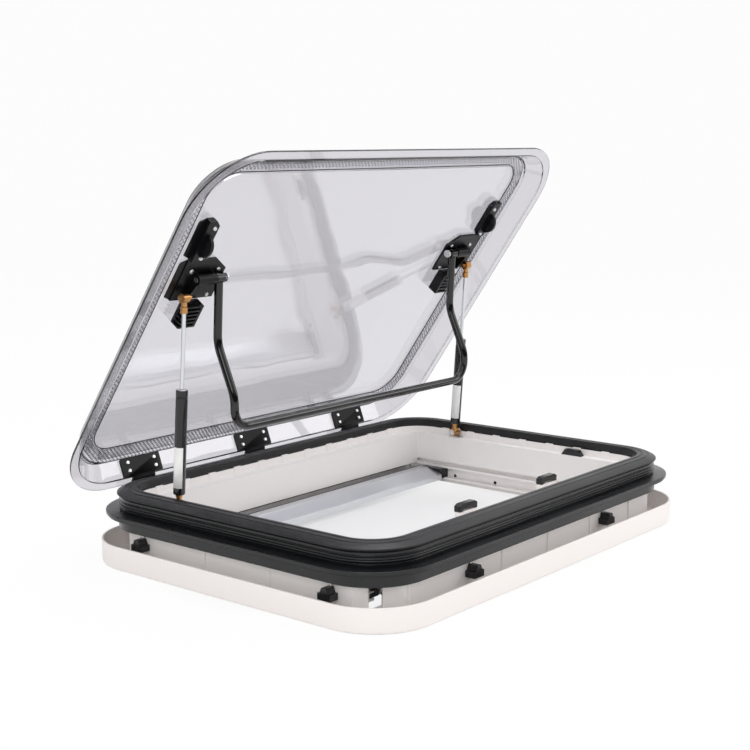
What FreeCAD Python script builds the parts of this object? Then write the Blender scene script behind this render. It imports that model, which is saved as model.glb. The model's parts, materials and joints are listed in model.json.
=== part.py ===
"""Caravan roof window: hinged double-glazed lid, frame, screen and blind, shown propped open.

Sizes are in millimetres and degrees. X runs along the hinge, +Y points to the hinge side and
+Z points up. Z = 0 is the room side of the trim frame, and the origin is its centre.
Pieces of the lid are drawn with the lid shut and are then turned about the hinge.
"""
import FreeCAD, Part
import math
import os
import re
import Sketcher

V = FreeCAD.Vector
ALONG_X = V(1, 0, 0)
ALONG_Y = V(0, 1, 0)
ALONG_Z = V(0, 0, 1)

# Driving dimensions: alias, value, what it is
SIZES = [
    ("trim_half_x", 400, "trim frame, half its length"),
    ("trim_half_y", 300, "trim frame, half its width"),
    ("trim_corner", 92, "trim frame, outer corner radius"),
    ("trim_high", 36, "trim frame, height of its outer wall"),
    ("trim_wall", 3, "trim frame, wall thickness"),
    ("trim_floor", 3.5, "trim frame, thickness of its room face"),
    ("trim_edge", 5, "trim frame, radius of its room edge"),
    ("trim_screw_hole", 2.25, "ceiling screws, hole radius"),
    ("well_slot", 40, "lower edge of the well walls, above the blind slots"),
    ("rear_slot", 30.5, "lower edge of the rear well wall"),
    ("floor_back", 6, "how far floor and trim stand back from the well faces"),
    ("plastic", 3, "wall of the white inner frame"),
    ("liner_cut", 48, "inner frame, corner cut"),
    ("liner_shoulder", 56, "inner frame, top of the outer wall"),
    ("ledge_top", 87, "inner frame, top of the ledge inside the rim"),
    ("rib_wide", 3, "ribs, width"),
    ("rib_proud", 2.4, "ribs, height above the wall"),
    ("tab_long", 14, "snap tabs, length"),
    ("tab_thick", 3.2, "snap tabs, thickness"),
    ("tab_high", 12.5, "snap tabs, height"),
    ("wall_lip", 2, "upright lip round the ledge, thickness"),
    ("wall_lip_high", 11, "upright lip round the ledge, height"),
    ("rim_corner", 54, "black outer frame, inner corner radius"),
    ("rim_gap", 0.3, "gap between inner frame and outer frame"),
    ("rim_wide", 27, "outer frame, width of the upstand"),
    ("rim_top", 100, "outer frame, top of the upstand"),
    ("rim_low", 62, "outer frame, lower edge of the inner wall"),
    ("rim_skin", 3, "outer frame, skin thickness"),
    ("bead_high", 95, "outer frame, height of the bead"),
    ("bead_proud", 2, "outer frame, bead"),
    ("ledge_high", 90, "outer frame, top of the drip ledge"),
    ("ledge_proud", 3, "outer frame, drip ledge"),
    ("flange_out", 48.5, "outer frame, reach of the roof flange"),
    ("flange_top", 80.5, "outer frame, flange top at its edge"),
    ("flange_root", 83.5, "outer frame, flange top at the upstand"),
    ("flange_under", 75.5, "outer frame, underside of the flange"),
    ("skirt_low", 54, "outer frame, lower edge of the skirt"),
    ("skirt_out", 30, "outer frame, outer face of the skirt"),
    ("skirt_thick", 3.5, "outer frame, skirt thickness"),
    ("gasket_thick", 3, "roof gasket, thickness"),
    ("gasket_wide", 15, "roof gasket, width"),
    ("seal_top", 112, "rim seal, top"),
    ("seal_nose", 31.5, "rim seal, reach of its nose"),
    ("seal_nose_high", 105.5, "rim seal, height of the nose"),
    ("clamp_in", 20, "clamp screws, distance out from the rim's inner edge"),
    ("clamp_low", 30, "roof clamps, underside"),
    ("clamp_high", 17, "roof clamps, height of the foot"),
    ("clamp_long", 22, "roof clamps, length"),
    ("clamp_deep", 16, "roof clamps, depth"),
    ("clamp_screw", 2.2, "clamp screws, radius"),
    ("clamp_head", 4.5, "clamp screws, head radius"),
    ("rail_deep", 12, "side rails, depth of the screen channel"),
    ("groove_deep", 10, "side rails, depth of the blind channel"),
    ("screen_low", 9.5, "side rails, lower edge of the screen channel"),
    ("screen_high", 27.5, "side rails, upper edge of the screen channel"),
    ("blind_low", 31.3, "side rails, lower edge of the blind channel"),
    ("blind_high", 38.7, "side rails, upper edge of the blind channel"),
    ("plug_radius", 3, "side rails, black plugs"),
    ("plug_z", 12.8, "side rails, height of the plugs"),
    ("plug_rear", 146, "side rails, rear plug"),
    ("plug_front", 57, "side rails, front plug"),
    ("slide_gap", 1, "clearance of the bars in their channels"),
    ("screen_bar_deep", 50, "screen bar, depth"),
    ("blind_bar_deep", 20, "blind bar, depth"),
    ("roller_tube", 8, "rollers, tube radius"),
    ("roll_radius", 13, "rollers, radius with the cloth on"),
    ("roller_z", 36, "screen roller, axis"),
    ("blind_roller_z", 60, "blind roller, axis"),
    ("hinge_knuckle", 6, "lid hinges, knuckle radius"),
    ("hinge_pin", 2.5, "lid hinges, pin radius"),
    ("hinge_half", 22.5, "lid hinges, half width of the moving knuckle"),
    ("hinge_ear", 10, "lid hinges, width of a fixed ear"),
    ("leaf_half", 40, "hinge leaves, half width"),
    ("leaf_thick", 4.5, "hinge leaves, thickness"),
    ("leaf_screw_x", 27, "hinge leaf screws, half spacing"),
    ("open_angle", 54.6, "how far the lid stands open"),
    ("lip_under", 88, "lid shut: underside of the lip"),
    ("lip_corner", 109, "outer pane, corner radius of the lip"),
    ("lip_wide", 15, "outer pane, lip width"),
    ("lip_thick", 3.5, "outer pane, lip thickness"),
    ("tray_deep", 26.5, "inner pane above the lip's underside"),
    ("tray_inset", 18, "how far the wall leans in over that height"),
    ("pane_gap", 6, "air gap between the panes"),
    ("pane_thick", 3, "pane thickness"),
    ("wall_thick", 3.2, "outer pane, wall thickness, level"),
    ("band_wide", 30, "bonded edge band of the inner pane"),
    ("band_proud", 1, "bonded edge band, step"),
    ("bond_wide", 16, "bond strip, width"),
    ("plate_thick", 4, "lid brackets, plate thickness"),
    ("plate_free", -118, "lid brackets, edge towards the free side"),
    ("plate_near", -46, "lid brackets, edge towards the hinge"),
    ("plate_cut", 26, "lid brackets, cut corner"),
    ("flange_reach", 11, "lid brackets and keepers, reach of the thin outer flange"),
    ("flange_thick", 2.2, "lid brackets and keepers, thickness of the outer flange"),
    ("plate_screw_y", -75, "bracket screws, middle"),
    ("plate_screw_half", 26, "bracket screws, half spacing along X"),
    ("plate_screw_reach", 23, "bracket screws, half spacing along Y"),
    ("small_screw", 1.9, "screws, shank radius"),
    ("small_head", 3.6, "screws, head radius"),
    ("small_head_high", 2.2, "screws, head height"),
    ("pivot_y", -88, "bail pivot, lid shut"),
    ("pivot_z", 102.5, "bail pivot, lid shut"),
    ("pivot_bolt", 4, "bail pivot, bolt radius"),
    ("pivot_boss", 8, "bail pivot, boss radius"),
    ("fit", 0.05, "running clearance of pins and rods"),
    ("cheek_thick", 5, "lid brackets, cheek thickness"),
    ("block_free", -42, "latch blocks, edge towards the free side"),
    ("block_near", -2, "latch blocks, edge towards the hinge"),
    ("block_high", 18, "latch blocks, height"),
    ("keeper_free", -190, "keepers, edge towards the free side"),
    ("keeper_near", -120, "keepers, edge towards the hinge"),
    ("keeper_high", 10, "keepers, height"),
    ("keeper_lug", 18.5, "keepers, radius of the round lug"),
    ("keeper_reach", 16, "keepers, how far the lug stands up"),
    ("keeper_lug_y", -149, "keepers, middle of the lug"),
    ("keeper_screw", 12, "keepers, screw from the end at the free side"),
    ("keeper_screw_near", 6, "keepers, screw from the other end"),
    ("bail_tube", 6.4, "bail, tube radius"),
    ("bail_straight", 96, "bail, straight part of the arm"),
    ("bail_crank", 38, "bail, offset of the crank"),
    ("bail_knee", 171, "bail, end of the crank below the pivot"),
    ("bail_drop", 215.5, "bail, bar below the pivot"),
    ("bail_bend", 30, "bail, corner bend radius"),
    ("bail_sweep", 60, "bail, bend radius of the crank"),
    ("bail_swing", 3.7, "bail, angle at which it hangs"),
    ("bail_eye", 7.5, "bail, eyes: radius and half length"),
    ("strut_foot_y", 140, "gas struts, lower stud"),
    ("strut_head_y", -61, "gas struts, upper stud, lid shut"),
    ("strut_tube", 8.8, "gas struts, cylinder radius"),
    ("strut_bore", 6.6, "gas struts, bore radius"),
    ("strut_tube_start", 16, "gas struts, cylinder base above the lower stud"),
    ("strut_tube_long", 156, "gas struts, cylinder length"),
    ("strut_gland", 7, "gas struts, gland length"),
    ("strut_rod", 3, "gas struts, rod radius"),
    ("strut_fitting", 22, "gas struts, length of the upper fitting"),
    ("strut_piston", 26, "gas struts, piston above the lower stud, lid shut"),
    ("eye_radius", 7, "strut eyes, radius"),
    ("eye_half", 6, "strut eyes, half thickness"),
    ("stud_radius", 3.5, "strut studs, radius"),
    ("catch_x", 105, "front catches, half spacing"),
    ("catch_wide", 42, "front catches, width"),
    ("catch_high", 11.5, "front catches, height"),
    ("catch_deep", 11, "front catches, depth"),
    ("catch_base", 12, "front catches, height of the white seat"),
    ("side_catch_y", -128, "side catches, front end"),
    ("side_catch_long", 40, "side catches, length"),
    ("side_catch_high", 10, "side catches, height"),
]

# Lengths that follow from the driving ones: name, formula, what it is
DERIVED = [
    ("trim_screw_x", "trim_half_x - 30", "ceiling screws, half spacing along X"),
    ("trim_screw_y", "trim_half_y - 60", "ceiling screws, half spacing along Y"),
    ("well_x", "trim_half_x - 65", "light well, half its length"),
    ("well_rear", "trim_half_y - 75", "light well, rear face"),
    ("well_front", "100 - trim_half_y", "light well, front face"),
    ("liner_x", "trim_half_x - 33", "inner frame, half length over its outer wall"),
    ("liner_y", "trim_half_y - 35", "inner frame, half width over its outer wall"),
    ("rim_x", "trim_half_x - 50", "black outer frame, half length of its inner edge"),
    ("rim_y", "trim_half_y - 52", "black outer frame, half width of its inner edge"),
    ("corner_screw_x", "liner_x - 37", "corner screws, half spacing along X"),
    ("corner_screw_y", "liner_y - 25", "corner screws, half spacing along Y"),
    ("rail_back", "well_x + 16", "side rails, outer face"),
    ("bar_half", "well_x - 13", "pull bars, half length"),
    ("screen_bar_y", "well_rear - 67", "screen bar, front face"),
    ("blind_bar_y", "well_front - 27", "blind bar, front face"),
    ("roller_end", "liner_x - 47", "rollers, half length of the tube"),
    ("roll_half", "roller_end - 8", "rollers, half length of the cloth"),
    ("roller_y", "liner_y - 21", "screen roller, axis"),
    ("blind_roller_y", "41 - liner_y", "blind roller, axis"),
    ("hinge_y", "rim_y + 74", "lid hinge, axis"),
    ("hinge_z", "flange_top - 1.5", "lid hinge, axis"),
    ("lip_x", "rim_x + 73", "outer pane, half length over the lip"),
    ("lip_y", "rim_y + 69", "outer pane, half width over the lip"),
    ("strut_x", "rim_x - 13", "gas struts, centre plane"),
    ("strut_foot_z", "ledge_top + 10.5", "gas struts, lower stud"),
    ("strut_head_z", "lip_under + 9.5", "gas struts, upper stud, lid shut"),
    ("cheek_in", "strut_x - 48", "lid brackets, inner cheek"),
    ("cheek_out", "strut_x - 17", "lid brackets, outer cheek"),
    ("bail_x", "cheek_in - 9", "bail, arm centre lines"),
    ("block_in", "cheek_in", "latch blocks, inner face"),
    ("block_out", "strut_x - 15", "latch blocks, outer face"),
    ("plate_out", "rim_x - 2", "lid brackets, outer edge"),
    ("plate_in", "plate_out - 82", "lid brackets, inner edge"),
    ("plate_screw_x", "plate_out - 42", "bracket screws, middle"),
    ("keeper_out", "rim_x - 2", "keepers, outer edge"),
    ("keeper_in", "keeper_out - 22", "keepers, inner edge"),
    ("hinge_pitch", "lip_x - 173", "lid hinges, spacing"),
    ("clamp_x", "rim_x / 2", "roof clamps on the long sides, half spacing"),
    ("clamp_y", "rim_y - 65", "roof clamps on the short sides, half spacing"),
    ("rib_pitch_x", "liner_x * 0.3215", "ribs on the long outer walls, spacing"),
    ("rib_pitch_y", "liner_y * 0.479", "ribs on the short outer walls, spacing"),
    ("tab_pitch_x", "(rim_x - 70) / 5", "snap tabs, spacing on the long sides"),
    ("tab_pitch_y", "(rim_y - 80) / 3", "snap tabs, spacing on the short sides"),
]

doc = FreeCAD.newDocument("roof_window")
sheet = doc.addObject("Spreadsheet::Sheet", "Sizes")
for row, (alias, number, meaning) in enumerate(SIZES, 1):
    sheet.set("A%d" % row, meaning)
    sheet.set("B%d" % row, str(number))
    sheet.setAlias("B%d" % row, alias)
doc.recompute()

ALIAS = re.compile(r"\b(" + "|".join(alias for alias, number, meaning in SIZES) + r")\b")
FOLLOWING = re.compile(r"\b(" + "|".join(name for name, formula, meaning in DERIVED) + r")\b")
FORMULAS = {name: "(%s)" % formula for name, formula, meaning in DERIVED}
LEFT_AND_RIGHT = (("left", -1), ("right", 1))
nodes = []


def written_out(formula):
    """The formula with every derived length replaced by its own formula."""
    while FOLLOWING.search(formula):
        formula = FOLLOWING.sub(lambda match: FORMULAS[match.group(1)], formula)
    return formula


def size(formula):
    """The number that a formula in these names gives."""
    return float(sheet.evalExpression(written_out(formula)))


def bound(formula):
    """The same formula as other objects refer to it."""
    return ALIAS.sub(r"Sizes.\1", written_out(formula))


def cos_open(formula):
    return "(%s) * cos(open_angle * 1 deg)" % formula


def sin_open(formula):
    return "(%s) * sin(open_angle * 1 deg)" % formula


def open_y(y, z):
    """Y of a point of the shut lid once the lid stands open."""
    return "(hinge_y + %s + %s)" % (cos_open("%s - hinge_y" % y), sin_open("%s - hinge_z" % z))


def open_z(y, z):
    """Z of a point of the shut lid once the lid stands open."""
    return "(hinge_z - %s + %s)" % (sin_open("%s - hinge_y" % y), cos_open("%s - hinge_z" % z))


def place(piece, y, z, turn):
    """Put a piece at y and z, turned about X by the angle."""
    piece.Placement = FreeCAD.Placement(V(0, size(y), size(z)), FreeCAD.Rotation(ALONG_X, size(turn)))
    piece.setExpression("Placement.Base.y", bound(y))
    piece.setExpression("Placement.Base.z", bound(z))
    piece.setExpression("Placement.Rotation.Angle", bound(turn))


def on_lid(piece):
    """Turn a piece that was drawn on the shut lid to the open lid."""
    place(piece, open_y("0", "0"), open_z("0", "0"), "-open_angle")


def keep(piece, name):
    piece.Label = name
    nodes.append(piece)
    return piece


def feature(name, shape):
    """A sub-part whose shape is worked out below from the sheet's sizes."""
    piece = doc.addObject("Part::Feature", name)
    piece.Shape = shape
    return keep(piece, name)


# Sketch-based pieces

def body(name):
    return keep(doc.addObject("PartDesign::Body", name), name)


def origin_plane(piece, role):
    return [item for item in piece.Origin.OriginFeatures if item.Role == role][0]


def sketch_on(piece, role, offset):
    """An empty sketch on an origin plane of the body, moved along the plane's normal."""
    sketch = piece.newObject("Sketcher::SketchObject", piece.Name + "_sketch")
    sketch.AttachmentSupport = [(origin_plane(piece, role), "")]
    sketch.MapMode = "FlatFace"
    sketch.setExpression("AttachmentOffset.Base.z", bound(offset))
    return sketch


def pin_down(sketch, kind, geometry, end, formula):
    """Hold one coordinate of a point at the value of a formula."""
    index = sketch.addConstraint(Sketcher.Constraint(kind, -1, 1, geometry, end, size(formula)))
    sketch.setExpression("Constraints[%d]" % index, bound(formula))


def outline(piece, role, offset, corners):
    """A closed outline of straight edges, with each corner held by two formulas."""
    sketch = sketch_on(piece, role, offset)
    spots = [V(size(across), size(up), 0) for across, up in corners]
    following = spots[1:] + spots[:1]
    for start, end in zip(spots, following):
        sketch.addGeometry(Part.LineSegment(start, end))
    for number, (across, up) in enumerate(corners):
        sketch.addConstraint(Sketcher.Constraint("Coincident", number, 2, (number + 1) % len(corners), 1))
        pin_down(sketch, "DistanceX", number, 1, across)
        pin_down(sketch, "DistanceY", number, 1, up)
    return sketch


def rounds(piece, role, offset, circles):
    """A sketch of full circles: centre across, centre up and radius."""
    sketch = sketch_on(piece, role, offset)
    for number, (across, up, radius) in enumerate(circles):
        middle = V(size(across), size(up), 0)
        sketch.addGeometry(Part.Circle(middle, ALONG_Z, size(radius)))
        pin_down(sketch, "DistanceX", number, 3, across)
        pin_down(sketch, "DistanceY", number, 3, up)
        index = sketch.addConstraint(Sketcher.Constraint("Radius", number, size(radius)))
        sketch.setExpression("Constraints[%d]" % index, bound(radius))
    return sketch


def pad(piece, sketch, length):
    step = piece.newObject("PartDesign::Pad", piece.Name + "_pad")
    step.Profile = sketch
    step.setExpression("Length", bound(length))
    return step


def pocket(piece, sketch, length):
    """Cut along the sketch's own normal."""
    step = piece.newObject("PartDesign::Pocket", piece.Name + "_pocket")
    step.Profile = sketch
    step.setExpression("Length", bound(length))
    step.Reversed = True
    return step


def turned(piece, corners, offset="0"):
    """Turn an outline of radius and height about the vertical line of its sketch."""
    sketch = outline(piece, "XZ_Plane", offset, corners)
    step = piece.newObject("PartDesign::Revolution", piece.Name + "_turn")
    step.Profile = sketch
    step.ReferenceAxis = (sketch, ["V_Axis"])
    step.Angle = 360
    return step


# Shapes with rounded corners, worked out from the sizes

def box(x0, x1, y0, y1, z0, z1):
    return Part.makeBox(x1 - x0, y1 - y0, z1 - z0, V(x0, y0, z0))


def rod_along_x(radius, x0, x1, y, z):
    return Part.makeCylinder(radius, x1 - x0, V(x0, y, z), ALONG_X)


def rod_along_z(radius, x, y, z0, z1):
    return Part.makeCylinder(radius, z1 - z0, V(x, y, z0), ALONG_Z)


def rounded_wire(half_x, half_y, radius, z):
    """A level rectangle with round corners, centred on the origin."""
    flat_x = half_x - radius
    flat_y = half_y - radius
    diagonal = radius * math.sqrt(0.5)
    edges = []
    for turn in range(4):
        reach, across = ((flat_x, flat_y), (flat_y, flat_x))[turn % 2]
        side = [V(reach + radius, -across, z), V(reach + radius, across, z)]
        corner = [side[1], V(reach + diagonal, across + diagonal, z), V(reach, across + radius, z)]
        spin = FreeCAD.Rotation(ALONG_Z, 90 * turn)
        edges.append(Part.LineSegment(*[spin.multVec(spot) for spot in side]).toShape())
        edges.append(Part.Arc(*[spin.multVec(spot) for spot in corner]).toShape())
    return Part.Wire(edges)


def slab(half_x, half_y, radius, z0, z1):
    return Part.Face(rounded_wire(half_x, half_y, radius, z0)).extrude(V(0, 0, z1 - z0))


def cut_corner_slab(half_x, half_y, cut, z0, z1):
    """A level slab with its four corners cut off at 45 degrees."""
    spots = [V(half_x, cut - half_y, z0), V(half_x, half_y - cut, z0)]
    spots += [V(half_x - cut, half_y, z0), V(cut - half_x, half_y, z0)]
    spots += [V(-half_x, half_y - cut, z0), V(-half_x, cut - half_y, z0)]
    spots += [V(cut - half_x, -half_y, z0), V(half_x - cut, -half_y, z0)]
    return Part.Face(Part.makePolygon(spots + spots[:1])).extrude(V(0, 0, z1 - z0))


def ring(section, half_x, half_y, corner):
    """Run a section of (distance out, height) round a rectangle with round corners."""
    flat_x = half_x - corner
    flat_y = half_y - corner
    runs = []
    for turn in range(4):
        reach, across = ((flat_x, flat_y), (flat_y, flat_x))[turn % 2]
        spots = [V(reach + corner + out, -across, up) for out, up in section]
        face = Part.Face(Part.makePolygon(spots + spots[:1]))
        side = face.extrude(V(0, 2 * across, 0))
        face.translate(V(0, 2 * across, 0))
        bend = face.revolve(V(reach, across, 0), ALONG_Z, 90)
        for run in (side, bend):
            run.rotate(V(0, 0, 0), ALONG_Z, 90 * turn)
            runs.append(run)
    return runs[0].fuse(runs[1:]).removeSplitter()


def tapered(lower, upper):
    """A solid between two level rounded rectangles of (half x, half y, radius, height)."""
    return Part.makeLoft([rounded_wire(*lower), rounded_wire(*upper)], True, True)


def all_corners(shape):
    """The shape and its mirror images across X, Y and both."""
    across = shape.mirror(V(0, 0, 0), ALONG_X)
    return [shape, across, shape.mirror(V(0, 0, 0), ALONG_Y), across.mirror(V(0, 0, 0), ALONG_Y)]


def spread(pitch, count):
    """Places at even steps to both sides of the middle."""
    return [pitch * number for number in range(-count, count + 1)]


# The fixed frame

def trim_frame():
    floor = size("trim_floor")
    half_x, half_y, corner = size("trim_half_x"), size("trim_half_y"), size("trim_corner")
    wall = size("trim_wall")
    outside = slab(half_x, half_y, corner, 0, size("trim_high"))
    room_edges = [edge for edge in outside.Edges if edge.BoundBox.ZMax < 0.001]
    outside = outside.makeFillet(size("trim_edge"), room_edges)
    hollow = slab(half_x - wall, half_y - wall, corner - wall, floor, size("trim_high"))
    hole = rod_along_z(size("trim_screw_hole"), size("trim_screw_x"), size("trim_screw_y"), 0, floor)
    feature("trim_frame", outside.cut([hollow, opening(0, floor)] + all_corners(hole)))


def opening(z0, z1):
    """The way through the floors of trim and inner frame."""
    back = size("floor_back")
    half = size("well_x") + back
    return box(-half, half, size("well_front") - back, size("well_rear") + back, z0, z1)


def well(grow, z0, z1):
    """The light well's prism, grown by a wall."""
    half = size("well_x") + grow
    return box(-half, half, size("well_front") - grow, size("well_rear") + grow, z0, z1)


def liner_upper(inset):
    gap = size("rim_gap") + inset
    return size("rim_x") - gap, size("rim_y") - gap, size("rim_corner") - gap


def inner_frame():
    low, high = size("trim_floor"), size("ledge_top")
    shoulder, wall = size("liner_shoulder"), size("plastic")
    half_x, half_y, cut = size("liner_x"), size("liner_y"), size("liner_cut")
    inner_cut = cut - wall * (2 - math.sqrt(2))
    outside = cut_corner_slab(half_x, half_y, cut, low, shoulder)
    outside = outside.fuse(slab(*liner_upper(0), shoulder - wall, high))
    lower = cut_corner_slab(half_x - wall, half_y - wall, inner_cut, low + wall, shoulder - wall)
    upper = slab(*liner_upper(wall), shoulder - wall, high - wall)
    hollow = lower.fuse(upper).cut(well(wall, size("well_slot"), high))
    frame = outside.cut([hollow, well(0, low + wall, high), opening(low, low + wall)])
    frame = frame.cut(all_corners(corner_notch()))
    lip_high = high + size("wall_lip_high")
    lip = slab(*liner_upper(0), high, lip_high).cut(slab(*liner_upper(size("wall_lip")), high, lip_high))
    reach, rear = size("well_x"), size("well_rear")
    rear_wall = box(-reach, reach, rear, rear + wall, size("rear_slot"), size("well_slot"))
    extras = [lip, rear_wall] + ribs() + snap_tabs() + catch_seats()
    feature("inner_frame", frame.fuse(extras).removeSplitter())


def corner_notch():
    """The gap in the outer wall at a corner, where the corner screw shows."""
    low, shoulder, wall = size("trim_floor"), size("liner_shoulder"), size("plastic")
    notch = box(-4 * wall, 4 * wall, -4 * wall, 2 * wall, low + 6 * wall, shoulder - wall)
    notch.rotate(V(0, 0, 0), ALONG_Z, 45)
    middle = size("liner_cut") / 2
    notch.translate(V(size("liner_x") - middle, size("liner_y") - middle, 0))
    return notch


def ribs():
    """Upright ribs on the outer wall."""
    low, high = size("trim_floor"), size("liner_shoulder")
    wide, proud = size("rib_wide"), size("rib_proud")
    half_x, half_y = size("liner_x"), size("liner_y")
    pieces = []
    for count in (-2.64, -0.84, 0.16, 1.16, 2.16):
        x = count * size("rib_pitch_x")
        pieces.append(box(x, x + wide, -half_y - proud, -half_y, low, high))
        pieces.append(box(-x - wide, -x, half_y, half_y + proud, low, high))
    for count in (-0.57, 0.43):
        y = count * size("rib_pitch_y")
        pieces.append(box(-half_x - proud, -half_x, y, y + wide, low, high))
        pieces.append(box(half_x, half_x + proud, y, y + wide, low, high))
    return pieces


def snap_tabs():
    """Small upright tabs on the ledge, close to the rim."""
    half_x, half_y, corner = liner_upper(0)
    low, high = size("ledge_top"), size("ledge_top") + size("tab_high")
    long, thick = size("tab_long"), size("tab_thick")
    pitch_x, pitch_y = size("tab_pitch_x"), size("tab_pitch_y")
    pieces = []
    for x in spread(pitch_x, 5):
        pieces.append(box(x - long / 2, x + long / 2, half_y - thick, half_y, low, high))
        pieces.append(box(x - long / 2, x + long / 2, -half_y, thick - half_y, low, high))
    for y in spread(pitch_y, 3):
        pieces.append(box(half_x - thick, half_x, y - long / 2, y + long / 2, low, high))
        pieces.append(box(-half_x, thick - half_x, y - long / 2, y + long / 2, low, high))
    return pieces


def catch_seats():
    """White seats under the front catches."""
    rear = size("well_front") - 3
    low, high = size("ledge_top"), size("ledge_top") + size("catch_base")
    half, deep = size("catch_wide") / 2, size("catch_deep") - 2
    middles = (-size("catch_x"), size("catch_x"))
    return [box(x - half, x + half, rear - deep, rear, low, high) for x in middles]


def round_rim(section):
    return ring(section, size("rim_x"), size("rim_y"), size("rim_corner"))


def outer_frame():
    """Hollow moulding: upstand, bead, drip ledge, roof flange and skirt in one section."""
    wide, top, low, skin = size("rim_wide"), size("rim_top"), size("rim_low"), size("rim_skin")
    bead, bead_out = size("bead_high"), wide + size("bead_proud")
    drip, drip_out = size("ledge_high"), wide + size("ledge_proud")
    reach, under = size("flange_out"), size("flange_under")
    skirt, skirt_low = size("skirt_out"), size("skirt_low")
    skirt_in = skirt - size("skirt_thick")
    section = [(0, low), (0, top), (wide, top)]
    section += [(wide, bead + 1.5), (bead_out, bead), (wide, bead - 1.5)]
    section += [(wide, drip + 1), (drip_out, drip), (drip_out, drip - 2), (wide - 1, drip - 4)]
    section += [(wide - 1, size("flange_root")), (reach, size("flange_top")), (reach, under)]
    section += [(skirt, under), (skirt, skirt_low), (skirt_in, skirt_low), (skirt_in, under - skin)]
    section += [(wide - skin - 1, under), (wide - skin - 1, top - skin), (skin, top - skin), (skin, low)]
    boss, bore = size("clamp_screw") + 1.2, size("clamp_screw") + size("fit")
    bosses = [rod_along_z(boss, x, y, under + 4, top - skin / 2) for x, y in clamp_places()]
    moulding = round_rim(section).fuse(bosses)
    bores = [rod_along_z(bore, x, y, under, top - skin) for x, y in clamp_places()]
    feature("outer_frame", moulding.cut(bores))


def rim_seal():
    wide, low, top = size("rim_wide"), size("rim_top"), size("seal_top")
    nose, nose_high = size("seal_nose"), size("seal_nose_high")
    section = [(0, low), (0, top - 2.5), (1.5, top - 0.5), (7, top), (8, top - 1.6), (9.5, top - 1.6)]
    section += [(10.5, top - 0.3), (17, top - 1), (18, top - 2.6), (19.5, top - 2.7), (20.5, top - 1.8)]
    section += [(wide - 2, top - 3.2), (nose, nose_high), (nose, nose_high - 2), (wide, low)]
    feature("rim_seal", round_rim(section))


def roof_gasket():
    under, start = size("flange_under"), size("skirt_out") + 1
    low, end = under - size("gasket_thick"), start + size("gasket_wide")
    feature("roof_gasket", round_rim([(start, low), (end, low), (end, under), (start, under)]))


def clamp_places():
    """Where the clamp screws stand, all round the frame."""
    out_x = size("rim_x") + size("clamp_in")
    out_y = size("rim_y") + size("clamp_in")
    long_sides = [(x, y) for x in (-size("clamp_x"), size("clamp_x")) for y in (-out_y, out_y)]
    return long_sides + [(x, y) for x in (-out_x, out_x) for y in (-size("clamp_y"), size("clamp_y"))]


def roof_clamps():
    """Clamp feet and their screws, which hold the roof between flange and feet."""
    low, high = size("clamp_low"), size("clamp_high")
    half, deep, screw = size("clamp_long") / 2, size("clamp_deep"), size("clamp_screw")
    feet = []
    screws = []
    for x, y in clamp_places():
        spots = [V(-half, -screw, 0), V(half, -screw, 0), V(half, -screw, high * 0.55)]
        spots += [V(half - 4, -screw, high * 0.55), V(half - 7, -screw, high)]
        spots += [V(7 - half, -screw, high), V(4 - half, -screw, high * 0.55)]
        spots += [V(-half, -screw, high * 0.55)]
        foot = Part.Face(Part.makePolygon(spots + spots[:1])).extrude(V(0, deep, 0))
        foot = foot.cut(rod_along_z(screw + size("fit"), 0, 0, 0, high))
        foot.rotate(V(0, 0, 0), ALONG_Z, outward_angle(x, y))
        foot.translate(V(x, y, low))
        feet.append(foot)
        shank = rod_along_z(screw, x, y, low - 3, size("rim_top") - size("rim_skin") - 2)
        screws.append(shank.fuse(rod_along_z(size("clamp_head") - 1.5, x, y, low - 4, low)))
    feature("roof_clamps", Part.makeCompound(feet))
    feature("clamp_screws", Part.makeCompound(screws))


def outward_angle(x, y):
    """Turn that points +Y away from the frame at a clamp."""
    if abs(y) > size("rim_y"):
        return 0 if y > 0 else 180
    return -90 if x > 0 else 90


def corner_screws():
    """Screws that show in the corner notches of the inner frame."""
    low, high = size("trim_floor") + size("plastic"), size("liner_shoulder") - size("plastic")
    screw = rod_along_z(3, size("corner_screw_x"), size("corner_screw_y"), low, high)
    head = rod_along_z(5.5, size("corner_screw_x"), size("corner_screw_y"), high - 10, high - 5)
    feature("corner_screws", Part.makeCompound(all_corners(screw.fuse(head))))


def side_rail(name, side):
    """Guide rail with a screen channel below and a blind channel above."""
    rail = body("side_rail_" + name)
    face, back = "%d * well_x" % side, "%d * rail_back" % side
    screen_back = "%d * (well_x + rail_deep)" % side
    blind_back = "%d * (well_x + groove_deep)" % side
    floor = "trim_floor + plastic"
    corners = [(back, floor), (face, floor), (face, "screen_low"), (screen_back, "screen_low")]
    corners += [(screen_back, "screen_high"), (face, "screen_high"), (face, "blind_low")]
    corners += [(blind_back, "blind_low"), (blind_back, "blind_high"), (face, "blind_high")]
    corners += [(face, "well_slot"), (back, "well_slot")]
    sketch = outline(rail, "XZ_Plane", "-(well_rear + plastic)", corners)
    pad(rail, sketch, "2 * (well_rear + plastic)")
    holes = [(spot, "plug_z", "plug_radius + fit") for spot in ("plug_rear", "plug_front")]
    start = "well_x + rail_deep - 1" if side > 0 else "-rail_back - 1"
    pocket(rail, rounds(rail, "YZ_Plane", start, holes), "rail_back - well_x - rail_deep + 2")


def rail_plugs():
    """Small black plugs, flush with the back of the screen channels."""
    start, end, height = size("well_x") + size("rail_deep"), size("rail_back"), size("plug_z")
    plugs = []
    for y in (size("plug_rear"), size("plug_front")):
        plug = rod_along_x(size("plug_radius"), start, end, y, height)
        plugs += [plug, plug.mirror(V(0, 0, 0), ALONG_X)]
    feature("rail_plugs", Part.makeCompound(plugs))


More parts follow.
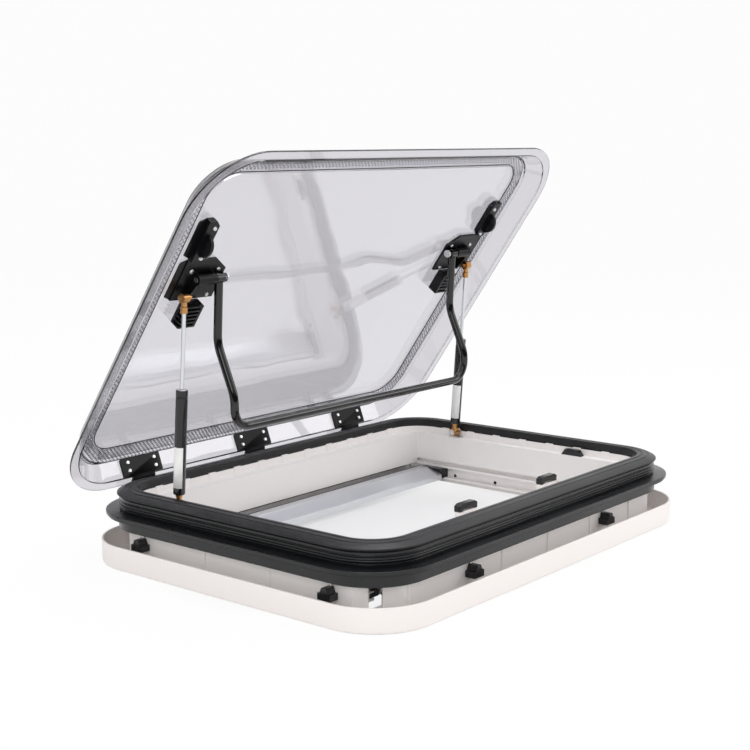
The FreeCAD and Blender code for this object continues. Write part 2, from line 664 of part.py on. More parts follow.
def roller(name, y, z):
    """A cloth roller: the tube and the cloth wound on it."""
    tube, reach = size("roller_tube"), size("roll_half")
    end = size("roller_end")
    axle = rod_along_x(tube, -end, end, size(y), size(z))
    feature(name + "_roller", axle.cut(rod_along_x(tube - 1.5, -end, end, size(y), size(z))))
    cloth = rod_along_x(size("roll_radius"), -reach, reach, size(y), size(z))
    feature(name + "_cloth", cloth.cut(rod_along_x(tube, -reach, reach, size(y), size(z))))


def roller_brackets():
    """End plates that carry the two rollers."""
    inner, outer = size("roller_end") - 4, size("roller_end") - 1
    bore = size("roller_tube") + size("fit")
    plates = []
    floor, ceiling = size("trim_floor") + size("plastic"), size("ledge_top") - size("plastic")
    for y, z, low, high in (
        (size("roller_y"), size("roller_z"), floor, size("roller_z") + 12),
        (size("blind_roller_y"), size("blind_roller_z"), size("blind_roller_z") - 12, ceiling),
    ):
        plate = box(inner, outer, y - 11, y + 11, low, high).cut(rod_along_x(bore, inner, outer, y, z))
        plates += [plate, plate.mirror(V(0, 0, 0), ALONG_X)]
    feature("roller_brackets", Part.makeCompound(plates))


def front_catches():
    """Two arched hooks on the front edge of the well."""
    low = size("ledge_top") + size("catch_base")
    high, rear = low + size("catch_high"), size("well_front") - 2
    half, deep = size("catch_wide") / 2, size("catch_deep")
    outline_x = [(-half, low), (-half + 5, low), (-half + 10, low + 3), (half - 10, low + 3)]
    outline_x += [(half - 5, low), (half, low), (half, high - 3), (half - 6, high), (6 - half, high)]
    outline_x += [(-half, high - 3)]
    hooks = []
    for middle in (-size("catch_x"), size("catch_x")):
        spots = [V(middle + x, rear - deep, z) for x, z in outline_x]
        hooks.append(Part.Face(Part.makePolygon(spots + spots[:1])).extrude(V(0, deep, 0)))
    feature("front_catches", Part.makeCompound(hooks))


def side_catches():
    """Two low black stops on the ledge beside the keepers."""
    low, high = size("ledge_top"), size("ledge_top") + size("side_catch_high")
    start, end = size("side_catch_y"), size("side_catch_y") + size("side_catch_long")
    outer = liner_upper(0)[0] - size("tab_thick") - size("rim_gap")
    spots = [V(outer, start, low), V(outer, start + 7, high), V(outer, end - 7, high), V(outer, end, low)]
    stop = Part.Face(Part.makePolygon(spots + spots[:1])).extrude(V(-11, 0, 0))
    feature("side_catches", Part.makeCompound([stop, stop.mirror(V(0, 0, 0), ALONG_X)]))


def strut_foot(name, side):
    """Bracket on the ledge with the strut's lower stud."""
    foot = body("strut_foot_" + name)
    cheek = "(strut_x + eye_half + fit + 0.25)"
    start = "%s * %d" % (cheek, side)
    outer = "(%s + 3) * %d" % (cheek, side)
    base_in = "(strut_x - 1) * %d" % side
    base_out = "(%s + 3.6) * %d" % (cheek, side)
    base = [(base_in, "strut_foot_y - 12"), (base_out, "strut_foot_y - 12")]
    base += [(base_out, "strut_foot_y + 12"), (base_in, "strut_foot_y + 12")]
    pad(foot, outline(foot, "XY_Plane", "ledge_top", base), "2.5")
    low, high = "ledge_top + 2", "strut_foot_z + 7"
    upright = [("strut_foot_y - 9", low), ("strut_foot_y + 9", low), ("strut_foot_y + 9", high + " - 4")]
    upright += [("strut_foot_y + 5", high), ("strut_foot_y - 5", high), ("strut_foot_y - 9", high + " - 4")]
    lowest = start if side > 0 else outer
    pad(foot, outline(foot, "YZ_Plane", lowest, upright), "3")
    stud_in = "(strut_x - eye_half - 0.5) * %d" % side
    lowest = stud_in if side > 0 else start
    middle = ("strut_foot_y", "strut_foot_z")
    stud = rounds(foot, "YZ_Plane", lowest, [middle + ("stud_radius",)])
    pad(foot, stud, cheek + " - strut_x + eye_half + 0.5")
    cap = "(strut_x - eye_half - 2.3) * %d" % side
    lowest = cap if side > 0 else stud_in
    pad(foot, rounds(foot, "YZ_Plane", lowest, [middle + ("stud_radius + 1.5",)]), "1.8")


HINGES = (("left", "-hinge_pitch"), ("centre", "0"), ("right", "hinge_pitch"))


def frame_hinge(name, middle):
    """Two ears on the rear flange that hold a hinge pin."""
    hinge = body("frame_hinge_" + name)
    root = "rim_y + rim_wide + 4"
    edge = "rim_y + flange_out"
    slope = "(flange_root - flange_top) / (flange_out - rim_wide + 1)"
    profile = [(root, "flange_top + (flange_out - rim_wide - 4) * " + slope), (edge, "flange_top")]
    profile += [(edge + " + 1.5", "hinge_z - 5"), ("hinge_y", "hinge_z - hinge_knuckle")]
    profile += [("hinge_y + hinge_knuckle * 0.7", "hinge_z - hinge_knuckle * 0.7")]
    profile += [("hinge_y + hinge_knuckle", "hinge_z")]
    profile += [("hinge_y + hinge_knuckle * 0.7", "hinge_z + hinge_knuckle * 0.7")]
    profile += [("hinge_y", "hinge_z + hinge_knuckle"), (edge + " + 3", "hinge_z + 4.5")]
    profile += [(root + " + 5", "hinge_z + 6.5")]
    inner = "(hinge_half + 0.5)"
    for start in ("%s + %s" % (middle, inner), "%s - %s - hinge_ear" % (middle, inner)):
        pad(hinge, outline(hinge, "YZ_Plane", start, profile), "hinge_ear")
    bridge = [(root, "flange_top + (flange_out - rim_wide - 4) * " + slope), (edge, "flange_top")]
    bridge += [(edge, "flange_top + 2.5"), (root + " + 5", "hinge_z + 6.5")]
    pad(hinge, outline(hinge, "YZ_Plane", "%s - %s - 1" % (middle, inner), bridge), "2 * (%s + 1)" % inner)
    hole = rounds(hinge, "YZ_Plane", "%s - hinge_half - 20" % middle, [("hinge_y", "hinge_z", "hinge_pin")])
    pocket(hinge, hole, "2 * (hinge_half + 20)")


def hinge_pins():
    reach = size("hinge_half + hinge_ear") + 0.5
    pins = []
    for name, middle in HINGES:
        x = size(middle)
        pin = rod_along_x(size("hinge_pin"), x - reach, x + reach, size("hinge_y"), size("hinge_z"))
        head = size("hinge_pin") + 1.5
        cap = rod_along_x(head, x + reach, x + reach + 2, size("hinge_y"), size("hinge_z"))
        pins.append(pin.fuse(cap))
    feature("hinge_pins", Part.makeCompound(pins))


# The lid, drawn shut

def lid_level(inset, z):
    """Size of the tray's inner wall at a height, as for rounded_wire."""
    lean = (z - size("lip_under")) * size("tray_inset") / size("tray_deep")
    step = size("lip_wide") + lean + inset
    return size("lip_x") - step, size("lip_y") - step, size("lip_corner") - step, z


def outer_pane():
    """Tray of clear plastic: level lip, leaning wall and flat top."""
    low, lip = size("lip_under"), size("lip_thick")
    ceiling = size("lip_under + tray_deep + pane_thick + pane_gap")
    top = ceiling + size("pane_thick")
    brim = slab(size("lip_x"), size("lip_y"), size("lip_corner"), low, low + lip)
    hull = tapered(lid_level(-size("wall_thick"), low), lid_level(-size("wall_thick"), top))
    cavity = tapered(lid_level(0, low), lid_level(0, ceiling))
    on_lid(feature("outer_pane", brim.fuse(hull).cut(cavity).removeSplitter()))


def inner_pane():
    """Flat inner sheet with a thicker band round its edge, where it is bonded."""
    face, gap = size("lip_under + tray_deep"), size("rim_gap")
    back = face + size("pane_thick")
    x, y, corner, level = lid_level(gap, face)
    band = face - size("band_proud")
    wide = size("band_wide")
    sheet_shape = tapered(lid_level(gap, band), lid_level(gap, back))
    recess = slab(x - wide, y - wide + 8, corner - wide, band, face)
    on_lid(feature("inner_pane", sheet_shape.cut(recess)))


def bond_strip():
    """Spacer strip that joins the panes all round."""
    low = size("lip_under + tray_deep + pane_thick")
    high = low + size("pane_gap")
    x, y, corner, level = lid_level(1, high)
    wide = size("bond_wide")
    strip = slab(x, y, corner, low, high).cut(slab(x - wide, y - wide, corner - wide, low, high))
    on_lid(feature("bond_strip", strip))


def leaf_line(z, inset):
    """Y of the tray's rear inner wall at a height, moved in from it."""
    lean = "((%s) - lip_under) * tray_inset / tray_deep" % z
    return "lip_y - lip_wide - %s - (%s)" % (lean, inset)


def hinge_leaf(name, middle):
    """Leaf on the leaning wall, with an arm under the lip to its knuckle."""
    leaf = body("hinge_leaf_" + name)
    top, low = "lip_under + tray_deep - 2.5", "lip_under + 0.3"
    corners = [(leaf_line(top, "0.15"), top), (leaf_line(low, "0.15"), low)]
    corners += [(leaf_line(low, "leaf_thick"), low), (leaf_line(top, "leaf_thick"), top)]
    pad(leaf, outline(leaf, "YZ_Plane", middle + " - leaf_half", corners), "2 * leaf_half")
    arm = [(leaf_line(low, "0.15"), low), ("lip_y - lip_wide - 0.3", "lip_under - 0.3")]
    arm += [("lip_y - lip_wide + 2", "lip_under - 0.8")]
    arm += [("hinge_y - 2", "hinge_z + 5.4"), ("hinge_y", "hinge_z"), ("hinge_y - 5.6", "hinge_z - 2")]
    arm += [(leaf_line(low, "0"), "lip_under - 4.6"), (leaf_line(low, "leaf_thick"), low)]
    pad(leaf, outline(leaf, "YZ_Plane", middle + " - hinge_half", arm), "2 * hinge_half")
    knuckle = [("hinge_y", "hinge_z", "hinge_knuckle - 0.4")]
    pad(leaf, rounds(leaf, "YZ_Plane", middle + " - hinge_half", knuckle), "2 * hinge_half")
    hole = [("hinge_y", "hinge_z", "hinge_pin + fit")]
    pocket(leaf, rounds(leaf, "YZ_Plane", middle + " - hinge_half - 1", hole), "2 * hinge_half + 2")
    on_lid(leaf)


def screw(at, towards, grip):
    """A screw: its head sits at the place, and a shank of the grip length goes on."""
    head, high = size("small_head"), size("small_head_high")
    piece = Part.makeCone(head, head - 1, high, V(0, 0, 0), -ALONG_Z)
    if grip:
        piece = piece.fuse(Part.makeCylinder(size("small_screw"), grip))
    piece.Placement = FreeCAD.Placement(at, FreeCAD.Rotation(ALONG_Z, towards))
    return piece


def lid_screws():
    """Screws of the hinge leaves, brackets and keepers: heads face the room."""
    pieces = []
    lean = math.atan2(size("tray_inset"), size("tray_deep"))
    into_wall = V(0, math.cos(lean), math.sin(lean))
    leaf = size("leaf_thick")
    for name, middle in HINGES:
        for x in (size(middle) - size("leaf_screw_x"), size(middle) + size("leaf_screw_x")):
            for z in (size("lip_under") + 7, size("lip_under") + 18):
                y = size(leaf_line(str(z), "leaf_thick"))
                pieces.append(screw(V(x, y, z), into_wall, 0))
    plate_face = size("lip_under + tray_deep - plate_thick")
    keeper_face = size("lip_under + tray_deep - keeper_high")
    for side in (-1, 1):
        for x, y, radius in plate_holes(side):
            pieces.append(screw(V(size(x), size(y), plate_face), ALONG_Z, size("plate_thick")))
        for x, y, radius in keeper_holes(side):
            pieces.append(screw(V(size(x), size(y), keeper_face), ALONG_Z, size("keeper_high")))
    on_lid(feature("lid_screws", Part.makeCompound(pieces)))


def plate_holes(side):
    """Screw holes of a lid bracket."""
    across = ["%d * (plate_screw_x %s plate_screw_half)" % (side, sign) for sign in "-+"]
    along = ["plate_screw_y %s plate_screw_reach" % sign for sign in "-+"]
    return [(x, y, "small_screw + fit") for x in across for y in along]


def keeper_holes(side):
    """Screw holes of a keeper."""
    along = ("keeper_free + keeper_screw", "keeper_near - keeper_screw_near")
    return [("%d * (keeper_in + 8)" % side, y, "small_screw + fit") for y in along]


def inner_edge_x(side):
    """Where the thin outer flange of a bracket or keeper starts, inside its thick plate."""
    return "%d * (plate_out - 2)" % side


def lid_bracket(name, side):
    """Screwed plate with two cheeks and the sleeve of the bail pivot."""
    bracket = body("lid_bracket_" + name)
    face = "lip_under + tray_deep - plate_thick"
    inner, outer = "%d * plate_in" % side, "%d * plate_out" % side
    cut_x = "%d * (plate_in + plate_cut)" % side
    corners = [(outer, "plate_near"), (outer, "plate_free"), (cut_x, "plate_free")]
    corners += [(inner, "plate_free + plate_cut * 0.7"), (inner, "plate_near")]
    pad(bracket, outline(bracket, "XY_Plane", face, corners), "plate_thick")
    pocket(bracket, rounds(bracket, "XY_Plane", face + " - 1", plate_holes(side)), "plate_thick + 2")
    level = face + " + plate_thick - flange_thick"
    edge = "%d * (plate_out + flange_reach)" % side
    flange = [(inner_edge_x(side), "plate_near"), (inner_edge_x(side), "plate_free")]
    flange += [(edge, "plate_free + 6"), (edge, "plate_near - 6")]
    pad(bracket, outline(bracket, "XY_Plane", level, flange), "flange_thick")
    high = face + " + 1"
    boss = "pivot_boss"
    for cheek, near in (("cheek_in", "pivot_y + 12"), ("cheek_out", "plate_near - 4")):
        start = "%d * %s" % (side, cheek) if side > 0 else "-(%s + cheek_thick)" % cheek
        web = [("pivot_y - " + boss, high), ("pivot_y - " + boss, "pivot_z")]
        web += [("pivot_y - 0.7 * " + boss, "pivot_z - 0.7 * " + boss), ("pivot_y", "pivot_z - " + boss)]
        web += [("pivot_y + 0.7 * " + boss, "pivot_z - 0.7 * " + boss), (near, "pivot_z"), (near, high)]
        pad(bracket, outline(bracket, "YZ_Plane", start, web), "cheek_thick")
    start = "%d * cheek_in" % side if side > 0 else "-cheek_out - cheek_thick"
    sleeve = rounds(bracket, "YZ_Plane", start, [("pivot_y", "pivot_z", boss + " + 0.4")])
    pad(bracket, sleeve, "cheek_out - cheek_in + cheek_thick")
    start = "%d * cheek_in - 1" % side if side > 0 else "-cheek_out - cheek_thick - 1"
    hole = rounds(bracket, "YZ_Plane", start, [("pivot_y", "pivot_z", "pivot_bolt")])
    pocket(bracket, hole, "cheek_out - cheek_in + cheek_thick + 2")
    on_lid(bracket)


def pivot_bolt(name, side):
    """Bolt through the sleeve and the bail's eye, with a round head inside."""
    bolt = body("pivot_bolt_" + name)
    head = "(bail_x - 12)"
    end = "(cheek_out + cheek_thick)"
    start = head if side > 0 else "-" + end
    middle = ("pivot_y", "pivot_z")
    pad(bolt, rounds(bolt, "YZ_Plane", start, [middle + ("pivot_bolt",)]), end + " - " + head)
    start = head + " - 3" if side > 0 else "-" + head
    pad(bolt, rounds(bolt, "YZ_Plane", start, [middle + ("pivot_bolt + 2.5",)]), "3")
    on_lid(bolt)


def latch_block(name, side):
    """Ribbed clip block below the bracket."""
    face = size("lip_under + tray_deep")
    low = face - size("block_high")
    inner, outer = size("block_in"), size("block_out")
    free, near = size("block_free"), size("block_near")
    block = box(inner, outer, free, near, low, face)
    gap = (near - free) / 11
    starts = [free + gap * k for k in (1, 3, 5, 7, 9)]
    block = block.cut([box(inner + 5, outer, y, y + gap, low, face - 5) for y in starts])
    if side < 0:
        block = block.mirror(V(0, 0, 0), ALONG_X)
    on_lid(feature("latch_block_" + name, block))


def keeper(name, side):
    """Keeper plate with a round lug that stands up from it."""
    piece = body("keeper_" + name)
    face = "lip_under + tray_deep - keeper_high"
    inner, outer = "%d * keeper_in" % side, "%d * keeper_out" % side
    mid = "%d * (keeper_in + 8)" % side
    corners = [(inner, "keeper_free + 8"), (mid, "keeper_free"), (outer, "keeper_free")]
    corners += [(outer, "keeper_near"), (mid, "keeper_near"), (inner, "keeper_near - 8")]
    pad(piece, outline(piece, "XY_Plane", face, corners), "keeper_high")
    pocket(piece, rounds(piece, "XY_Plane", face + " - 1", keeper_holes(side)), "keeper_high + 2")
    level = face + " + keeper_high - flange_thick"
    edge = "%d * (keeper_out + flange_reach)" % side
    flange = [(inner_edge_x(side), "keeper_near"), (inner_edge_x(side), "keeper_free")]
    flange += [(edge, "keeper_free + 6"), (edge, "keeper_near - 6")]
    pad(piece, outline(piece, "XY_Plane", level, flange), "flange_thick")
    start = "keeper_out - 12.5" if side > 0 else "7.5 - keeper_out"
    lug = []
    for angle in range(-90, 91, 15):
        across = "keeper_lug_y + keeper_lug * %.5f" % math.sin(math.radians(angle))
        up = "%s - keeper_reach + keeper_lug * %.5f" % (face, 1 - math.cos(math.radians(angle)))
        lug.append((across, up))
    pad(piece, outline(piece, "YZ_Plane", start, lug), "5")
    on_lid(piece)


# The bail handle

def bail():
    """Bent tube with two flattened eyes, drawn about its pivot and hung from the open lid."""
    x, crank, drop = size("bail_x"), size("bail_crank"), size("bail_drop")
    straight, knee, bend = size("bail_straight"), size("bail_knee"), size("bail_bend")
    half = [V(x, 0, -6), V(x, 0, -straight), V(x, -crank, -knee), V(x, -crank, -drop)]
    corners = half + [V(-spot.x, spot.y, spot.z) for spot in reversed(half)]
    sweep, eye_long = size("bail_sweep"), size("bail_eye")
    route = bent_wire(corners, [sweep, sweep, bend, bend, sweep, sweep])
    start = Part.Wire(Part.makeCircle(size("bail_tube"), corners[0], ALONG_Z))
    tube = route.makePipeShell([start], True, True)
    pieces = [tube]
    for side in (-1, 1):
        pieces.append(rod_along_x(eye_long, side * x - eye_long, side * x + eye_long, 0, 0))
    loop = pieces[0].fuse(pieces[1:])
    bore = size("pivot_bolt") + size("fit")
    loop = loop.cut([rod_along_x(bore, side * x - 12, side * x + 12, 0, 0) for side in (-1, 1)])
    swing_y, swing_z = open_y("pivot_y", "pivot_z"), open_z("pivot_y", "pivot_z")
    place(feature("bail_handle", loop), swing_y, swing_z, "bail_swing")


def bent_wire(spots, radii):
    """Straight runs through the spots, joined by tangent arcs of the radii."""
    edges = []
    last = spots[0]
    for before, corner, after, radius in zip(spots, spots[1:], spots[2:], radii):
        inward = (corner - before).normalize()
        onward = (after - corner).normalize()
        turn = inward.getAngle(onward)
        setback = radius * math.tan(turn / 2)
        begin, end = corner - inward * setback, corner + onward * setback
        to_middle = (onward - inward).normalize()
        middle = corner + to_middle * (radius / math.cos(turn / 2) - radius)
        edges.append(Part.LineSegment(last, begin).toShape())
        edges.append(Part.Arc(begin, middle, end).toShape())
        last = end
    edges.append(Part.LineSegment(last, spots[-1]).toShape())
    return Part.Wire(edges)


# The gas struts, drawn upright about the lower stud

HEAD_Y = open_y("strut_head_y", "strut_head_z")
HEAD_Z = open_z("strut_head_y", "strut_head_z")
STRUT_RISE = "(%s - strut_foot_z)" % HEAD_Z
STRUT_RUN = "(strut_foot_y - %s)" % HEAD_Y
STRUT_LONG = "sqrt(%s * %s + %s * %s)" % (STRUT_RISE, STRUT_RISE, STRUT_RUN, STRUT_RUN)
STRUT_SHUT = "(strut_foot_y - strut_head_y)"


def stand_strut(piece, side):
    """Lean an upright piece from the lower stud to the upper stud."""
    place(piece, "strut_foot_y", "strut_foot_z", "atan(%s / %s)" % (STRUT_RUN, STRUT_RISE))
    piece.setExpression("Placement.Base.x", bound("%d * strut_x" % side))


def strut(name, side):
    low, high = "strut_tube_start", "strut_tube_start + strut_tube_long"
    tube = body("strut_tube_" + name)
    corners = [("0", low), ("strut_tube - 1.5", low), ("strut_tube", low + " + 1.5")]
    corners += [("strut_tube", high + " - 11"), ("strut_tube - 0.8", high + " - 10.5")]
    corners += [("strut_tube - 0.8", high + " - 9.5"), ("strut_tube", high + " - 9"), ("strut_tube", high)]
    corners += [("strut_bore", high), ("strut_bore", low + " + 5"), ("0", low + " + 5")]
    turned(tube, corners)
    stand_strut(tube, side)

    gland = body("strut_gland_" + name)
    corners = [("strut_rod + fit", high + " - strut_gland"), ("strut_bore", high + " - strut_gland")]
    corners += [("strut_bore", high), ("strut_tube - 1.5", high), ("strut_tube - 2.5", high + " + 1.2")]
    corners += [("strut_rod + fit", high + " + 1.2")]
    turned(gland, corners)
    stand_strut(gland, side)

    end = body("strut_end_" + name)
    neck = [("0", "0"), ("4.2", "0"), ("4.2", "eye_radius + 5"), ("5.2", "eye_radius + 6")]
    neck += [("5.2", low), ("0", low)]
    turned(end, neck)
    eye(end, "eye_radius", "0")
    hole = rounds(end, "YZ_Plane", "-eye_half - 1", [("0", "0", "stud_radius + fit")])
    pocket(end, hole, "2 * eye_half + 2")
    stand_strut(end, side)

    rod = body("strut_rod_" + name)
    fitting = STRUT_LONG + " - strut_fitting"
    piston = "%s - %s + strut_piston" % (STRUT_LONG, STRUT_SHUT)
    corners = [("0", piston), ("strut_bore - fit", piston), ("strut_bore - fit", piston + " + 8")]
    corners += [("strut_rod", piston + " + 8"), ("strut_rod", fitting), ("0", fitting)]
    turned(rod, corners)
    stand_strut(rod, side)

    head = body("strut_head_" + name)
    neck = [("0", fitting), ("5.2", fitting), ("5.2", fitting + " + 9"), ("4.2", fitting + " + 10")]
    neck += [("4.2", STRUT_LONG), ("0", STRUT_LONG)]
    turned(head, neck)
    eye(head, "eye_radius", STRUT_LONG)
    inner = "cheek_out + cheek_thick + rim_gap - strut_x"
    reach = "strut_x - cheek_out - cheek_thick - rim_gap"
    start = inner if side > 0 else "0"
    pad(head, rounds(head, "YZ_Plane", start, [("0", STRUT_LONG, "stud_radius")]), reach)
    stand_strut(head, side)


def eye(piece, radius, height):
    pad(piece, rounds(piece, "YZ_Plane", "-eye_half", [("0", height, radius)]), "2 * eye_half")


# The pull bars of screen and blind

def screen_bar():
    """Pull bar of the screen, parked at the rear."""
    bar = body("screen_bar")
    front, rear = "screen_bar_y", "screen_bar_y + screen_bar_deep"
    low, high = "screen_low - 1", "screen_high + 0.5"
    corners = [(front, low), (rear, low), (rear, high), (rear + " - 18", high)]
    corners += [(rear + " - 20", high + " - 1.5"), (front + " + 5", low + " + 12"), (front, low + " + 9")]
    pad(bar, outline(bar, "YZ_Plane", "-bar_half", corners), "2 * bar_half")
    edge = [(rear, high + " - 3"), (rear + " + 3", high + " - 3"), (rear + " + 3", high + " + 0.4")]
    edge += [(rear, high + " + 0.4")]
    strip = body("screen_edge")
    pad(strip, outline(strip, "YZ_Plane", "-bar_half", edge), "2 * bar_half")
    carriages("screen", "screen_bar_y + 4", "screen_bar_deep - 8", "rail_deep", "screen_low", "screen_high")


def blind_bar():
    """Pull bar of the blind, parked at the front under the well wall."""
    bar = body("blind_bar")
    front, rear = "blind_bar_y", "blind_bar_y + blind_bar_deep"
    low, high = "blind_low + 0.2", "blind_high - 0.2"
    corners = [(front, low), (rear + " - 4", low), (rear, low + " + 2"), (rear, high), (front, high)]
    pad(bar, outline(bar, "YZ_Plane", "-bar_half", corners), "2 * bar_half")
    carriages("blind", "blind_bar_y + 2", "blind_bar_deep - 4", "groove_deep", "blind_low", "blind_high")


def carriages(name, start, long, deep, low, high):
    """Sliding end pieces of a bar, with tongues that run in the rails."""
    for side_name, side in LEFT_AND_RIGHT:
        slider = body("%s_carriage_%s" % (name, side_name))
        near = "%d * bar_half" % side
        face = "%d * (well_x - slide_gap)" % side
        tip = "%d * (well_x + %s - slide_gap)" % (side, deep)
        under, over = low + " - 0.8", high + " + 0.3"
        corners = [(near, under), (face, under), (face, low), (tip, low)]
        corners += [(tip, high + " - slide_gap"), (face, high + " - slide_gap"), (face, over), (near, over)]
        sketch = outline(slider, "XZ_Plane", "-(%s + %s)" % (start, long), corners)
        pad(slider, sketch, long)


def build():
    trim_frame()
    inner_frame()
    outer_frame()
    rim_seal()
    roof_gasket()
    roof_clamps()
    corner_screws()
    roller("screen", "roller_y", "roller_z")
    roller("blind", "blind_roller_y", "blind_roller_z")
    roller_brackets()
    front_catches()
    side_catches()
    rail_plugs()
    for name, side in LEFT_AND_RIGHT:
        side_rail(name, side)
        strut_foot(name, side)
        strut(name, side)
        lid_bracket(name, side)
        pivot_bolt(name, side)
        latch_block(name, side)
        keeper(name, side)
    for name, middle in HINGES:
        frame_hinge(name, middle)
        hinge_leaf(name, middle)
    hinge_pins()
    outer_pane()
    inner_pane()
    bond_strip()
    lid_screws()
    bail()
    screen_bar()
    blind_bar()


def check_and_write():
    doc.recompute()
    for item in doc.Objects:
        bad = [state for state in item.State if state in ("Invalid", "Error")]
        if bad:
            raise RuntimeError("%s failed: %s" % (item.Name, item.State))
    os.makedirs("parts", exist_ok=True)
    for piece in nodes:
        if piece.Shape.isNull() or not piece.Shape.isValid():
            raise RuntimeError("%s has no valid shape" % piece.Label)
    for piece in nodes:
        piece.Shape.exportStep("parts/%s.step" % piece.Label)
        print("%-24s solids %2d  volume %10.0f" % (piece.Label, len(piece.Shape.Solids), piece.Shape.Volume))


build()
check_and_write()
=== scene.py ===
# %% [markdown]
# # A caravan roof window, propped open
#
# This lesson dresses a finished engineering model of a roof window. The model brings every solid
# at its true size, in metres. What is left to do here is what a photographer would notice: soft
# edges, moulded plastic, clear acrylic, chrome, brass and studio light.

# %% Load the engineering model
import json
import math

import bmesh
import bpy
from mathutils import Matrix, Vector


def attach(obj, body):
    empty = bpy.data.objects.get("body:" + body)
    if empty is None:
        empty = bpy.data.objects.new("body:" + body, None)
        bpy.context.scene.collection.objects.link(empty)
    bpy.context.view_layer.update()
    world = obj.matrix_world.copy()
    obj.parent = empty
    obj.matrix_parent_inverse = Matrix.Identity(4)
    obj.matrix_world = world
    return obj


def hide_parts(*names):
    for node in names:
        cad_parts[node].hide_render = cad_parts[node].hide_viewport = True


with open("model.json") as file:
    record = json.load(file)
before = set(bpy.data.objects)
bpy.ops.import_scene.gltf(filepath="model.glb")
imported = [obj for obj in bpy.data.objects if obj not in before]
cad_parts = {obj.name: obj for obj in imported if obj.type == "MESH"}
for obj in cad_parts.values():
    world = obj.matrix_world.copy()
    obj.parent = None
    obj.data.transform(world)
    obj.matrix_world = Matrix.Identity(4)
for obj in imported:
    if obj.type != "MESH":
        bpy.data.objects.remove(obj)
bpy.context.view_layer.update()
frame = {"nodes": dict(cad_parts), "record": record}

# %% [markdown]
# ## The camera
#
# The window was photographed with a long lens from the front left, a little above the rim. Lens,
# distance and angles were worked out from the edges of the trim and of the lid. A camera in
# Blender looks along its own -Z, so three turns place it: heading, tilt and a slight roll.

# %% Camera
MM = 0.001
heading, tilt, roll = math.radians(-50.21), math.radians(9.2), math.radians(-0.44)
look_at = Vector((22.62, 65.52, 250.06)) * MM
distance = 2.2684

camera = bpy.data.objects.new("camera", bpy.data.cameras.new("camera"))
bpy.context.scene.collection.objects.link(camera)
camera.data.sensor_width = 36
camera.data.lens = 68.06
camera.data.clip_end = 60
turn = Matrix.Rotation(heading, 4, "Z") @ Matrix.Rotation(math.pi / 2 - tilt, 4, "X")
turn = turn @ Matrix.Rotation(roll, 4, "Z")
camera.matrix_world = Matrix.Translation(look_at + turn.to_3x3() @ Vector((0, 0, distance))) @ turn
bpy.context.scene.camera = camera
print("Camera stands at", [round(v, 3) for v in camera.matrix_world.translation])

# %% [markdown]
# ## Materials: two helpers
#
# Paint and plastic are named by the hex colour a designer would write down. Hex values are made
# for screens, so one function turns them into the linear light that a shader works with. The
# other helper adds a node, sets its values and links it in one go.

# %% Colour and node helpers
def linear(hex_colour):
    """A colour such as F2EDE8 as the linear values of a shader."""
    values = [int(hex_colour[i:i + 2], 16) / 255 for i in (0, 2, 4)]
    return [v / 12.92 if v <= 0.04045 else ((v + 0.055) / 1.055) ** 2.4 for v in values] + [1]


def add_node(tree, kind, inputs, **settings):
    """Add a node; an input is given a value or the socket that feeds it."""
    node = tree.nodes.new(kind)
    for key, value in settings.items():
        setattr(node, key, value)
    for key, value in inputs.items():
        if isinstance(value, bpy.types.NodeSocket):
            tree.links.new(value, node.inputs[key])
        else:
            node.inputs[key].default_value = value
    return node


def empty_material(name):
    material = bpy.data.materials.new(name)
    material.use_nodes = True
    material.node_tree.nodes.clear()
    return material, material.node_tree


# %% [markdown]
# ## Moulded plastic
#
# Trim, inner frame, outer frame and brackets are injection-moulded. Such a skin has a fine
# spark-eroded grain of a few tenths of a millimetre, and its gloss drifts gently over a hand's
# width. A bump from fine noise gives the first, and a slow noise on the roughness the second.

# %% Moulded plastic
DRIFT_MM = 90  # over this width the gloss of a moulding changes


def moulded(name, hex_colour, roughness, grain_mm, depth_mm, drift=0.06, tone=0.04, shine=0.5):
    """Moulded plastic with a grain, a slow change of gloss and a slight change of tone."""
    material, tree = empty_material(name)
    where = add_node(tree, "ShaderNodeTexCoord", {}).outputs["Object"]
    grain = add_node(tree, "ShaderNodeTexNoise", {
        "Vector": where, "Scale": 1 / (grain_mm * MM), "Detail": 3.0})
    slow = add_node(tree, "ShaderNodeTexNoise", {
        "Vector": where, "Scale": 1 / (DRIFT_MM * MM), "Detail": 2.0})
    gloss = add_node(tree, "ShaderNodeMapRange", {
        "Value": slow.outputs["Fac"], "From Min": 0.3, "From Max": 0.7,
        "To Min": roughness - drift, "To Max": roughness + drift})
    colour = linear(hex_colour)
    darker = [v * (1 - tone) for v in colour[:3]] + [1]
    shade = add_node(tree, "ShaderNodeMix", {
        "Factor": slow.outputs["Fac"], "A": darker, "B": colour}, data_type="RGBA")
    bump = add_node(tree, "ShaderNodeBump", {
        "Height": grain.outputs["Fac"], "Strength": 0.5, "Distance": depth_mm * MM})
    shader = add_node(tree, "ShaderNodeBsdfPrincipled", {
        "Base Color": shade.outputs["Result"], "Roughness": gloss.outputs["Result"],
        "Normal": bump.outputs["Normal"], "IOR": 1.5, "Specular IOR Level": shine})
    add_node(tree, "ShaderNodeOutputMaterial", {"Surface": shader.outputs["BSDF"]})
    return material


